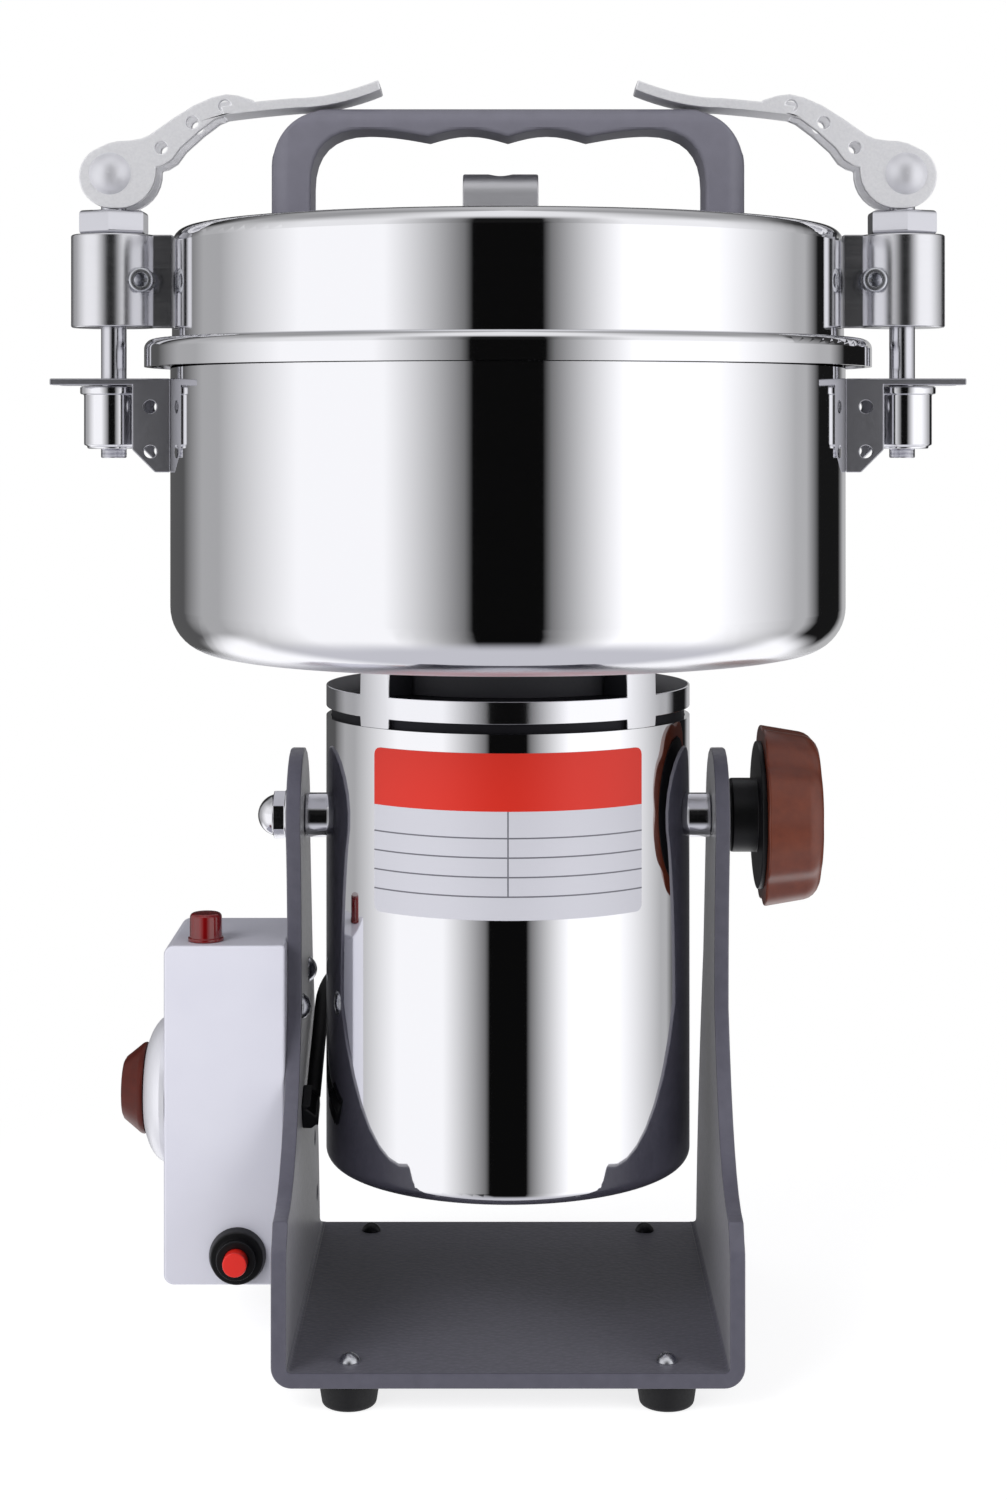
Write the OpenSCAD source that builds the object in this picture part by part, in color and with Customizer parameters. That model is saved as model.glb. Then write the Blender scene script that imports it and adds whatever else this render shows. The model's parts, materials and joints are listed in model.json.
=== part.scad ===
// Swing type electric grain mill. Millimetres, +Z up, front towards -Y.
// A motor and its grinding bowl hang as one unit between the arms of a bent sheet stand.

/* [Stand] */
// Gap between the motor can and an arm of the stand
arm_gap = 6.7; // [6:0.1:12]
// Depth of the base plate, front to back
stand_depth = 144; // [136:1:160]
// Thickness of the bent sheet
sheet_t = 4.5; // [3.5:0.5:5]
// Outer radius of the two bends
bend_r = 6; // [5.5:0.5:14]
// Height of the tilt axis above the table
pivot_z = 161.5; // [158:0.5:175]
// Radius of the rounded ear on top of each arm
ear_r = 21; // [18:0.5:24]
// Diameter of a rubber foot
foot_d = 18; // [14:1:20]
// Height of a rubber foot
foot_h = 7.7; // [6:0.1:10]
// Distance from a foot's centre to the side of the stand
foot_in_x = 22; // [20:1:30]
// Distance from a foot's centre to the front or back edge of the stand
foot_in_y = 10; // [10:1:20]

/* [Motor] */
// Outer diameter of the motor can
can_d = 113.6; // [108:0.2:115]
// Height of the motor can
can_h = 138.3; // [136:0.1:150]
// Wall of the motor can
can_wall = 1.5; // [1:0.1:2]
// Rounding of the can's lower edge
can_corner = 4; // [3:0.5:18]
// Length of the can below the tilt axis
can_drop = 106.5; // [104:0.5:108]
// Height of the slot between the can and the neck ring
slot_h = 2.9; // [2:0.1:4]
// Height of the neck ring
ring_h = 6.7; // [6:0.1:9]
// Height of the open neck between the ring and the bowl
neck_h = 10.7; // [10:0.1:16]
// Width of one neck post
post_w = 12.4; // [10:0.2:16]
// Diameter of the shaft in the upper bearing
shaft_d = 15; // [14:0.5:16]
// Diameter of the shaft in the lower bearing
tail_d = 12; // [11:0.5:13]
// Diameter of the pivots in the ears
journal_d = 12; // [10:0.5:13]
// Diameter of the collars beside the ears
collar_d = 13.8; // [13.4:0.1:16]

/* [Bowl] */
// Outer diameter of the grinding bowl
bowl_d = 210; // [200:1:216]
// Height of the bowl from its floor to its rim
bowl_h = 91; // [84:1:100]
// Wall of the bowl
bowl_wall = 2; // [1.5:0.1:2.5]
// Rounding of the bowl's lower edge
bowl_corner = 14; // [8:1:18]
// Length of a lower blade, tip to tip
lower_blade_l = 168; // [140:1:180]
// Length of an upper blade, tip to tip
upper_blade_l = 132; // [100:1:160]
// Thickness of a blade
blade_t = 2.5; // [2:0.1:3.5]
// Height of the spacer between the blades
spacer_h = 20; // [15:1:26]

/* [Lid] */
// Width of the rim flange beyond the bowl wall
flange_w = 8; // [6:0.5:9]
// Height of the lid's skirt over the bowl rim
skirt_h = 8.5; // [7:0.1:9.5]
// Height of the lid above its skirt
lid_h = 34.3; // [31:0.1:40]
// Sheet thickness of the lid
lid_wall = 2; // [1.5:0.1:2.5]
// Rounding of the lid's upper edge
lid_corner = 5; // [3:0.5:8]
// Outer width of the handle
handle_w = 147; // [130:1:156]
// Height of the handle over the lid
handle_h = 37.4; // [34:0.1:37.6]
// Depth of the handle, front to back
handle_depth = 24; // [18:1:28]
// Thickness of the handle's grip bar
handle_bar = 9; // [7:0.5:11]
// Width of a handle leg
handle_leg = 12.5; // [11:0.5:16]

/* [Clamps] */
// Distance from a tie rod to the bowl wall
rod_out = 18.5; // [18:0.1:20]
// Diameter of a tie rod
rod_d = 8; // [6:0.5:9]
// Outer diameter of a clamp lug
lug_d = 26.6; // [22:0.2:27]
// Drop from the lid's top to the top of a clamp lug
lug_drop = 1.3; // [0:0.1:4]
// Height of the hexagonal cam seat
seat_h = 7.5; // [6:0.5:9]
// Width of the cam seat over its flats
seat_af = 20; // [18:0.5:21]
// Distance from the cam pin to the closed cam face
cam_rise = 10.8; // [10.4:0.1:12]
// Travel that the cam gives the tie rod
cam_travel = 2; // [1.5:0.1:3]
// Turning angle of a lever from shut to open
lever_angle = 150; // [150:1:160]
// Diameter of the cam pin
cam_pin_d = 6; // [5:0.5:7]
// Thickness of one lever cheek
cheek_t = 3; // [2.5:0.1:3.5]
// Reach of a lever from its pin to its tip
lever_reach = 84; // [78:1:88]
// Width between the lever cheeks
fork_gap = 11.6; // [10:0.1:12]
// Diameter of an adjusting nut
nut_d = 18.5; // [16:0.5:20]
// Height of an adjusting nut
nut_h = 19.5; // [16:0.5:21]
// Sheet thickness of a catch bracket
catch_t = 2; // [1.5:0.1:3]

/* [Controls] */
// Width of the control box, outwards from the arm
box_w = 37; // [32:1:42]
// Depth of the control box
box_depth = 46; // [40:1:46]
// Height of the control box
box_h = 103.6; // [100:0.1:112]
// Height of the box above the table
box_z = 21.4; // [20:0.1:26]
// Wall of the control box
box_wall = 2; // [1.5:0.1:3]
// Diameter of the timer's dial
dial_d = 45; // [38:1:46]
// Diameter of the timer knob at its base
timer_knob_d = 28; // [22:1:29]
// Diameter of the lock knob
lock_knob_d = 57; // [48:1:62]
// Thickness of the lock knob
lock_knob_t = 19; // [15:0.5:22]
// Number of grips round the lock knob
lock_knob_lobes = 8; // [6:1:10]
// Diameter of the indicator lamp
lamp_d = 11; // [8:0.5:14]
// Diameter of the breaker's ring
breaker_d = 17.6; // [15:0.2:18]
// Diameter of the breaker's button
button_d = 7.4; // [6:0.2:8.4]
// Travel of the breaker's button
button_travel = 2; // [1:0.5:3]

/* [Hidden] */
$fn = 64;

// Clearances and the overrun of every cut
run_gap = 0.05;
rest_gap = 0.3;
seat_gap = 0.05;
cut = 1;

// Levels of the motor and bowl
can_r = can_d / 2;
can_in = can_r - can_wall;
can_z = pivot_z - can_drop;
can_top = can_z + can_h;
ring_z = can_top + slot_h;
ring_top = ring_z + ring_h;
bowl_z = ring_top + neck_h;
bowl_r = bowl_d / 2;
floor_z = bowl_z + bowl_wall;
rim_z = bowl_z + bowl_h;
arm_in = can_r + arm_gap;
stand_w = 2 * (arm_in + sheet_t);

// Levels of the lid
flange_r = bowl_r + flange_w;
gasket_t = 3.4;
lid_z = rim_z + gasket_t;
flange_top = lid_z + lid_wall;
lid_gap_in = 0.5;
lid_r = bowl_r - lid_gap_in;
lid_top = flange_top + lid_h;
lug_gap = 4;
lug_z = flange_top + lug_gap;
lug_top = lid_top - lug_drop;
lug_h = lug_top - lug_z;
handle_top = lid_top + handle_h;

// Points along a circular arc
function arc(c, r, a0, a1, n) =
    [for (i = [0:n]) c + r * [cos(a0 + (a1 - a0) * i / n), sin(a0 + (a1 - a0) * i / n)]];

// Points along a quadratic curve, without its last point
function bend(p, q, s, n) =
    [for (i = [0:n - 1]) let (t = i / n) (1 - t) * (1 - t) * p + 2 * t * (1 - t) * q + t * t * s];

// Half section of a cup with a rounded lower edge, for turning
module cup_section(r, z0, z1, corner) {
    translate([0, z0]) square([r - corner, z1 - z0]);
    translate([0, z0 + corner]) square([r, z1 - z0 - corner]);
    translate([r - corner, z0 + corner]) circle(corner);
}

module tube(r0, r1, z0, z1) {
    difference() {
        translate([0, 0, z0]) cylinder(r = r1, h = z1 - z0);
        translate([0, 0, z0 - cut]) cylinder(r = r0, h = z1 - z0 + 2 * cut);
    }
}

// A hexagon of the given width over its flats
module hex(af, h) cylinder(d = af / cos(30), h = h, $fn = 6);

// A wedge of the plane about +X, as wide as twice the half angle
module wedge(r, half) {
    reach = 2 * r;
    polygon([
        [0, 0],
        reach * [cos(half), -sin(half)],
        reach * [1, -tan(half / 2)],
        reach * [1, tan(half / 2)],
        reach * [cos(half), sin(half)]
    ]);
}

// Part of a ring about +X
module sector(r0, r1, z0, z1, half) {
    translate([0, 0, z0]) linear_extrude(z1 - z0) intersection() {
        difference() {
            circle(r1);
            circle(r0);
        }
        wedge(r1, half);
    }
}

// A cylinder along +X from x0 to x1 at the tilt axis
module pivot_rod(r, x0, x1) {
    translate([x0, 0, pivot_z]) rotate([0, 90, 0]) cylinder(r = r, h = x1 - x0);
}

// A screw with a domed head above the origin and its shank below
module dome_screw(d, length, head_d, head_h) {
    ball = (head_d * head_d / 4 + head_h * head_h) / (2 * head_h);
    intersection() {
        translate([0, 0, head_h - ball]) sphere(ball);
        cylinder(r = head_d, h = head_h + cut);
    }
    translate([0, 0, -length]) cylinder(d = d, h = length + head_h / 2);
}

// Outline of one arm seen from the side, as shares of half the depth and of the pivot's height
arm_low_share = 0.31;
flare_low_shares = [-0.917, 0.334];
flare_pull_shares = [-0.458, 0.341];
neck_low_shares = [-0.201, 0.644];
neck_high_share = 0.82;
back_high_shares = [0.444, 0.7];
back_pull_shares = [0.792, 0.384];
back_low_shares = [0.903, 0.099];
plate_corner = 6;
plate_corner_angle = 120;
ear_front_angle = 205;
ear_back_angle = -15;
curve_steps = 8;
ear_steps = 14;
ear_c = [0, pivot_z];
function arm_at(shares) = [shares[0] * stand_depth / 2, shares[1] * pivot_z];

module arm_outline() {
    half = stand_depth / 2;
    low = arm_low_share * pivot_z;
    neck = arm_at(neck_low_shares);
    ear_front = ear_c + ear_r * [cos(ear_front_angle), sin(ear_front_angle)];
    ear_back = ear_c + ear_r * [cos(ear_back_angle), sin(ear_back_angle)];
    back_high = arm_at(back_high_shares);
    polygon(concat(
        [[half, 0], [-half, 0]],
        arc([plate_corner - half, low - plate_corner], plate_corner, 180, plate_corner_angle, 3),
        bend(arm_at(flare_low_shares), arm_at(flare_pull_shares), neck, curve_steps),
        bend(neck, [neck[0], neck_high_share * pivot_z], ear_front, curve_steps),
        arc(ear_c, ear_r, ear_front_angle, ear_back_angle, ear_steps),
        bend(ear_back, (ear_back + back_high) / 2, back_high, 2),
        bend(back_high, arm_at(back_pull_shares), arm_at(back_low_shares), curve_steps),
        [arm_at(back_low_shares), [half, foot_h + sheet_t]]
    ));
}

// Section of the bent sheet, seen from the front
module yoke_section(half_w, z0, r) {
    top = pivot_z + ear_r + cut;
    translate([r - half_w, z0]) square([2 * (half_w - r), top - z0]);
    translate([-half_w, z0 + r]) square([2 * half_w, top - z0 - r]);
    for (side = [-1, 1]) translate([side * (half_w - r), z0 + r]) circle(r);
}

// Small holes in the left arm, and the two screws that hold the control box
arm_hole_d = 5;
arm_hole_shares = [[0.583, 0.303], [0.722, 0.173]];
box_screw_d = 4;
box_screw_shares = [[-0.24, 0.797], [0.33, 0.855]];
function box_place(shares) = [shares[0] * box_depth, box_z + shares[1] * box_h];
foot_screw_d = 4;
foot_screw_head_d = 6.4;
foot_screw_head_h = 2.6;
foot_screw_up = 1;
foot_screw_l = foot_h + sheet_t - foot_screw_up;
foot_span_x = stand_w - 2 * foot_in_x;
foot_span_y = stand_depth - 2 * foot_in_y;

module yoke_frame() color("#4c4b55") difference() {
    intersection() {
        translate([0, stand_depth / 2, 0]) rotate([90, 0, 0]) linear_extrude(stand_depth) difference() {
            yoke_section(stand_w / 2, foot_h, bend_r);
            yoke_section(arm_in, foot_h + sheet_t, bend_r - sheet_t);
        }
        translate([-stand_w / 2 - cut, 0, 0]) rotate([90, 0, 90]) {
            linear_extrude(stand_w + 2 * cut) arm_outline();
        }
    }
    pivot_rod(journal_d / 2 + run_gap, -stand_w / 2 - cut, stand_w / 2 + cut);
    at_feet() translate([0, 0, foot_h - cut]) cylinder(d = foot_screw_d + 2 * run_gap, h = sheet_t + 2 * cut);
    for (shares = arm_hole_shares) left_arm_hole(arm_at(shares), arm_hole_d);
    for (shares = box_screw_shares) left_arm_hole(box_place(shares), box_screw_d + 2 * run_gap);
    left_arm_hole(cable_exit, elbow_peg_d + 2 * run_gap);
}

module left_arm_hole(place, d) translate([-stand_w / 2 - cut, place[0], place[1]]) rotate([0, 90, 0]) {
    cylinder(d = d, h = sheet_t + 2 * cut);
}

module at_feet() {
    for (side = [-1, 1]) for (end = [-1, 1]) {
        translate([side * foot_span_x / 2, end * foot_span_y / 2, 0]) children();
    }
}

// A foot is a slightly tapered stud with a rounded tread edge
foot_taper = 1;
foot_edge = 1.5;
foot_pocket_d = 9;
foot_pocket_h = 4;

module rubber_feet() color("#1b1b1d") at_feet() difference() {
    rotate_extrude() polygon(concat(
        [[0, foot_h], [0, 0]],
        arc([foot_d / 2 - foot_taper - foot_edge, foot_edge], foot_edge, -90, -10, 4),
        [[foot_d / 2, foot_h]]
    ));
    translate([0, 0, -cut]) cylinder(d = foot_pocket_d, h = foot_pocket_h + cut);
    cylinder(d = foot_screw_d + 2 * run_gap, h = foot_h + cut);
}

// Each foot screw ends in a nut inside the pocket of its foot
foot_nut_af = 7;
foot_nut_h = 3;

module foot_screws() color("#c9c9cf") at_feet() {
    translate([0, 0, foot_h + sheet_t]) {
        dome_screw(foot_screw_d, foot_screw_l, foot_screw_head_d, foot_screw_head_h);
    }
    translate([0, 0, foot_pocket_h - foot_nut_h]) hex(foot_nut_af, foot_nut_h);
}

// The control box hangs on the outside of the left arm
box_x = stand_w / 2;
box_out = box_x + box_w;
box_top = box_z + box_h;
box_round = 3;
window_w = 30;
window_h = 66;
window_rise = 8;
dial_rise = 54.6;
dial_z = box_z + dial_rise;
timer_shaft_d = 6;
timer_body_w = 30;
timer_body_t = 24;
breaker_out = 14.4;
breaker_edge = 0.4;
breaker_x = box_x + breaker_out;
breaker_z = box_z + breaker_d / 2 + breaker_edge;
breaker_step = 2.8;
breaker_neck_d = breaker_d - 2 * breaker_step;
lamp_out = 25;
lamp_front = 14.5;
lamp_x = box_x + lamp_out;
lamp_y = -lamp_front;
lamp_h = 8.5;
lamp_stem_d = 8;
gland_d = 15;
gland_hole_d = 11;
gland_bore_d = 7;
gland_rise = 22.6;
gland_z = box_z + gland_rise;
gland_x = box_x + box_w / 2;

// Section of the box, or of its inside with the wall as inset
module box_outline(inset) {
    r = box_round - inset;
    out = box_out - inset;
    low = box_z + inset;
    high = box_top - inset;
    for (z = [low + r, high - r]) translate([-out + r, z]) circle(r);
    translate([-out + r, low]) square([out - r - box_x - inset, high - low]);
    translate([-out, low + r]) square([r, high - low - 2 * r]);
}

module control_box() color("#c4c4ce") difference() {
    translate([0, box_depth / 2, 0]) rotate([90, 0, 0]) linear_extrude(box_depth) box_outline(0);
    translate([0, box_depth / 2 - box_wall, 0]) rotate([90, 0, 0]) {
        linear_extrude(box_depth - 2 * box_wall) box_outline(box_wall);
    }
    translate([-box_x - box_wall - cut, -window_w / 2, box_z + window_rise]) {
        cube([box_wall + 2 * cut, window_w, window_h]);
    }
    for (shares = box_screw_shares) {
        place = box_place(shares);
        translate([-box_x - box_wall - cut, place[0], place[1]]) rotate([0, 90, 0]) {
            cylinder(d = box_screw_d + 2 * run_gap, h = box_wall + 2 * cut);
        }
    }
    translate([-box_out - cut, 0, dial_z]) rotate([0, 90, 0]) {
        cylinder(d = timer_shaft_d + 4 * rest_gap, h = box_wall + 2 * cut);
    }
    translate([-breaker_x, -box_depth / 2 + box_wall + cut, breaker_z]) rotate([90, 0, 0]) {
        cylinder(d = breaker_neck_d + 2 * run_gap, h = box_wall + 2 * cut);
    }
    translate([-lamp_x, lamp_y, box_top - box_wall - cut]) {
        cylinder(d = lamp_stem_d + 2 * run_gap, h = box_wall + 2 * cut);
    }
    translate([-gland_x, box_depth / 2 + cut, gland_z]) rotate([90, 0, 0]) {
        cylinder(d = gland_hole_d + 2 * run_gap, h = box_wall + 2 * cut);
    }
}

// Screws from inside the arm, each with a nut inside the box
box_screw_head_d = 8;
box_screw_head_h = 2.6;
box_screw_out = 7;
box_nut_h = 3;

module box_screws() color("#b9b9c0") for (shares = box_screw_shares) {
    place = box_place(shares);
    translate([-arm_in, place[0], place[1]]) rotate([0, 90, 0]) {
        dome_screw(box_screw_d, sheet_t + box_screw_out, box_screw_head_d, box_screw_head_h);
    }
    translate([-box_x - box_wall - box_nut_h, place[0], place[1]]) rotate([0, 90, 0]) {
        hex(foot_nut_af, box_nut_h);
    }
}

// The timer sits behind the outer wall and its shaft comes through the dial
dial_t = 7.5;
dial_rim = 1.6;
dial_shoulder = 5.6;
dial_top_d = 28;
timer_knob_t = 7.3;
timer_knob_top_d = 17;
timer_knob_edge = 3;
pointer_w = 2;
pointer_t = 1;
timer_x = box_out + dial_t;

module timer_body() color("#e6e2d8") {
    translate([-box_out + box_wall, -timer_body_w / 2, dial_z - timer_body_w / 2]) {
        cube([timer_body_t, timer_body_w, timer_body_w]);
    }
    translate([-timer_x - timer_knob_t / 2, 0, dial_z]) rotate([0, 90, 0]) {
        cylinder(d = timer_shaft_d, h = timer_knob_t / 2 + dial_t + box_wall + cut);
    }
}

module timer_dial() color("#e9e9ee") translate([-box_out, 0, dial_z]) rotate([0, -90, 0]) {
    r = dial_d / 2;
    bore_r = timer_shaft_d / 2 + rest_gap;
    top = [dial_top_d / 2, dial_t];
    rotate_extrude() polygon(concat(
        [[bore_r, 0], [r, 0]],
        bend([r, dial_rim], [r - dial_rim, dial_shoulder], top, curve_steps),
        [top, [bore_r, dial_t]]
    ));
}

module timer_knob() color("#6b2a20") translate([-timer_x - rest_gap, 0, dial_z]) rotate([0, -90, 0]) {
    difference() {
        rotate_extrude() polygon([
            [0, 0],
            [timer_knob_d / 2, 0],
            [timer_knob_d / 2, timer_knob_t / 6],
            [timer_knob_d / 2 - timer_knob_edge / 3, timer_knob_t / 3],
            [timer_knob_top_d / 2 + timer_knob_edge / 3, timer_knob_t - timer_knob_edge / 6],
            [timer_knob_top_d / 2, timer_knob_t],
            [0, timer_knob_t]
        ]);
        translate([0, 0, -cut]) cylinder(d = timer_shaft_d + 2 * run_gap, h = timer_knob_t / 2 + cut);
        translate([timer_knob_top_d / 2 - pointer_w, -pointer_w / 2, timer_knob_t - pointer_t]) {
            cube([timer_knob_d, pointer_w, pointer_t + cut]);
        }
    }
}

// Indicator lamp: a lens on a stem with a nut under the lid of the box
lamp_flange_h = 1.2;
lamp_edge = 1.5;
lamp_nut_h = 3;
lamp_nut_af = 11;
lamp_stem_l = 20;

module indicator_lamp() color("#b01020") translate([-lamp_x, lamp_y, box_top]) {
    rotate_extrude() polygon(concat(
        [[0, 0], [lamp_d / 2, 0]],
        arc([lamp_d / 2 - lamp_edge, lamp_h - lamp_edge], lamp_edge, 0, 90, 4),
        [[0, lamp_h]]
    ));
    translate([0, 0, -lamp_stem_l]) cylinder(d = lamp_stem_d, h = lamp_stem_l + lamp_flange_h);
    translate([0, 0, -box_wall - lamp_nut_h]) hex(lamp_nut_af, lamp_nut_h);
}

// Breaker: body in the box, ring nut outside, a button that travels through the ring
breaker_ring_t = 3.4;
breaker_neck_l = 6;
breaker_body_in = 2;
breaker_body_d = breaker_d - 2 * breaker_body_in;
breaker_lip = 1;
breaker_body_l = 26;
button_out = 4;
button_flange_d = 9.4;
button_flange_t = 1.2;
breaker_y = box_depth / 2;
cavity_l = button_travel + button_flange_t + rest_gap;

module breaker_body() color("#18181b") translate([-breaker_x, -breaker_y, breaker_z]) rotate([90, 0, 0]) {
    difference() {
        union() {
            translate([0, 0, -box_wall - breaker_body_l]) cylinder(d = breaker_body_d, h = breaker_body_l);
            translate([0, 0, -box_wall - cut]) {
                cylinder(d = breaker_neck_d, h = box_wall + breaker_neck_l + cut);
            }
            cylinder(d1 = breaker_d, d2 = breaker_d - breaker_ring_t / 2, h = breaker_ring_t);
        }
        translate([0, 0, breaker_neck_l - breaker_lip - cavity_l]) {
            cylinder(d = button_flange_d + 2 * run_gap, h = cavity_l);
        }
        translate([0, 0, breaker_neck_l / 2]) cylinder(d = button_d + 2 * run_gap, h = breaker_neck_l);
    }
}

module reset_button() color("#d0201c") translate([-breaker_x, -breaker_y, breaker_z]) rotate([90, 0, 0]) {
    translate([0, 0, breaker_neck_l - breaker_lip - button_flange_t - rest_gap / 2]) {
        cylinder(d = button_flange_d, h = button_flange_t);
        cylinder(d = button_d, h = button_flange_t + breaker_lip + button_out);
    }
}

// Inlet gland for the mains lead, on the back of the box
gland_flange_t = 2.5;
gland_nose = 9;
gland_nut_h = 4;
gland_nut_af = 14;

module cord_gland() color("#202023") translate([-gland_x, box_depth / 2, gland_z]) rotate([-90, 0, 0]) {
    difference() {
        union() {
            cylinder(d = gland_d, h = gland_flange_t);
            cylinder(d1 = gland_d - gland_flange_t, d2 = gland_hole_d, h = gland_nose);
            translate([0, 0, -box_wall - gland_nut_h]) {
                cylinder(d = gland_hole_d, h = box_wall + gland_nut_h + cut);
                hex(gland_nut_af, gland_nut_h);
            }
        }
        translate([0, 0, -box_wall - gland_nut_h - cut]) {
            cylinder(d = gland_bore_d, h = box_wall + gland_nut_h + gland_nose + 2 * cut);
        }
    }
}

// The gland on the can where the lead goes in
gland_angle = 136;
motor_gland_rise = 50;
motor_gland_z = can_z + motor_gland_rise;
motor_gland_d = 9;
motor_gland_hole_d = 7;
motor_gland_in = 3;
motor_gland_out = 9.6;

module motor_gland() color("#202023") translate([0, 0, motor_gland_z]) rotate([0, 0, gland_angle]) {
    translate([can_in - motor_gland_in, 0, 0]) rotate([0, 90, 0]) {
        cylinder(d = motor_gland_hole_d, h = motor_gland_in + can_wall + cut);
    }
    translate([can_r + seat_gap, 0, 0]) rotate([0, 90, 0]) {
        cylinder(d1 = motor_gland_d, d2 = motor_gland_hole_d, h = motor_gland_out);
    }
}

// Lead from the motor to the box, led down inside the left arm to an elbow.
// Its bends are shares of the arm's place, half the depth and the pivot's height.
cable_d = 4.6;
cable_sides = 10;
cable_straight = 3;
cable_shares = [
    [0.872, 0.661, 0.639], [0.92, 0.606, 0.624], [0.948, 0.528, 0.604], [0.954, 0.417, 0.576],
    [0.954, 0.278, 0.545], [0.954, 0.125, 0.511], [0.954, 0, 0.483], [0.954, -0.083, 0.4645]
];
cable_start = can_r + seat_gap + motor_gland_out + rest_gap;
function from_gland(out) = [out * cos(gland_angle), out * sin(gland_angle), motor_gland_z];
function cable_at(shares) = [-shares[0] * arm_in, shares[1] * stand_depth / 2, shares[2] * pivot_z];
cable_bends = [for (shares = cable_shares) cable_at(shares)];
cable_route = concat([from_gland(cable_start), from_gland(cable_start + cable_straight)], cable_bends);
elbow_w = 9;
elbow_l = 10;
elbow_t = 5;
elbow_peg_d = 7;
elbow_round = 2;
cable_last = cable_bends[len(cable_bends) - 1];
cable_before = cable_bends[len(cable_bends) - 2];
cable_fall = atan2(cable_before[2] - cable_last[2], cable_before[1] - cable_last[1]);
elbow_mid = elbow_l / 2 + seat_gap;
cable_exit = [cable_last[1] - elbow_mid * cos(cable_fall), cable_last[2] - elbow_mid * sin(cable_fall)];

module cable_elbow() color("#202023") {
    translate([-arm_in, cable_exit[0], cable_exit[1]]) rotate([cable_fall, 0, 0]) difference() {
        translate([0, -elbow_l / 2, -elbow_w / 2]) cube([elbow_t, elbow_l, elbow_w]);
        for (side = [-1, 1]) translate([elbow_t - elbow_round, -elbow_l / 2 - cut, side * elbow_w / 2]) {
            rotate([0, 45, 0]) translate([0, 0, -elbow_round]) {
                cube([2 * elbow_round, elbow_l + 2 * cut, 2 * elbow_round]);
            }
        }
    }
    translate([-arm_in - sheet_t - box_wall, cable_exit[0], cable_exit[1]]) rotate([0, 90, 0]) {
        cylinder(d = elbow_peg_d, h = sheet_t + box_wall + cut);
    }
}

// A tube swept along points, with flat ends square to its ends
function unit(v) = v / norm(v);
function heading(p, i) = i == 0 ? unit(p[1] - p[0])
    : i == len(p) - 1 ? unit(p[i] - p[i - 1])
    : unit(unit(p[i + 1] - p[i]) + unit(p[i] - p[i - 1]));
function ring_at(c, t, r, n) =
    let (u = unit(cross(t, [0, 0, 1])), v = cross(t, u))
    [for (k = [0:n - 1]) c + r * (cos(360 * k / n) * u + sin(360 * k / n) * v)];

module swept_tube(p, r, n) {
    last = len(p) - 1;
    points = [for (i = [0:last]) each ring_at(p[i], heading(p, i), r, n)];
    sides = [for (i = [0:last - 1], k = [0:n - 1]) each [
        [i * n + k, (i + 1) * n + k, i * n + (k + 1) % n],
        [i * n + (k + 1) % n, (i + 1) * n + k, (i + 1) * n + (k + 1) % n]
    ]];
    caps = [[for (k = [0:n - 1]) k], [for (k = [n - 1:-1:0]) last * n + k]];
    polyhedron(points, concat(sides, caps));
}

module motor_cable() color("#202023") swept_tube(cable_route, cable_d / 2, cable_sides);

// Deep drawn can, open at the top, with air holes round its floor
vent_count = 12;
vent_d = 7;
vent_r_share = 0.62;

module motor_can() color("#d3d3d8") difference() {
    rotate_extrude() difference() {
        cup_section(can_r, can_z, can_top, can_corner);
        cup_section(can_in, can_z + can_wall, can_top + cut, can_corner - can_wall);
    }
    for (i = [0:vent_count - 1]) rotate([0, 0, 360 * i / vent_count]) {
        translate([can_r * vent_r_share, 0, can_z - cut]) cylinder(d = vent_d, h = can_wall + 2 * cut);
    }
    pivot_rod(collar_d / 2 + run_gap, -can_r - cut, can_r + cut);
    translate([0, 0, motor_gland_z]) rotate([0, 0, gland_angle]) {
        translate([can_in / 2, 0, 0]) rotate([0, 90, 0]) {
            cylinder(d = motor_gland_hole_d + 2 * run_gap, h = can_r);
        }
    }
}

// Upper bracket: bearing hub, spider, neck ring and the four posts under the bowl
post_depth = 10.3;
post_screw_in = 5.3;
bolt_in = 8.3;
gasket_gap = 0.5;
gasket_w = 4;
post_in = can_r - post_depth;
post_screw_r = can_r - post_screw_in;
bolt_r = can_in - bolt_in;
gasket_out = post_in - gasket_gap;
gasket_in = gasket_out - gasket_w;
ring_in = gasket_in - gasket_w / 2;
hub_r = 23;
hub_drop = 9;
spigot_h = 8;
spigot_t = 3;
fit_gap = 0.2;
post_angle = 45;
screw_d = 5;
screw_l = 12;
screw_head_d = 9;
screw_head_h = 3;
bolt_d = 4.4;
bolt_grip = 4.5;
spider_w = 14;
upper_bearing_d = 35;
upper_bearing_h = 11;
bearing_lid = 2;

module at_posts(r) {
    for (i = [0:3]) rotate([0, 0, post_angle + 90 * i]) translate([r, 0, 0]) children();
}

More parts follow.
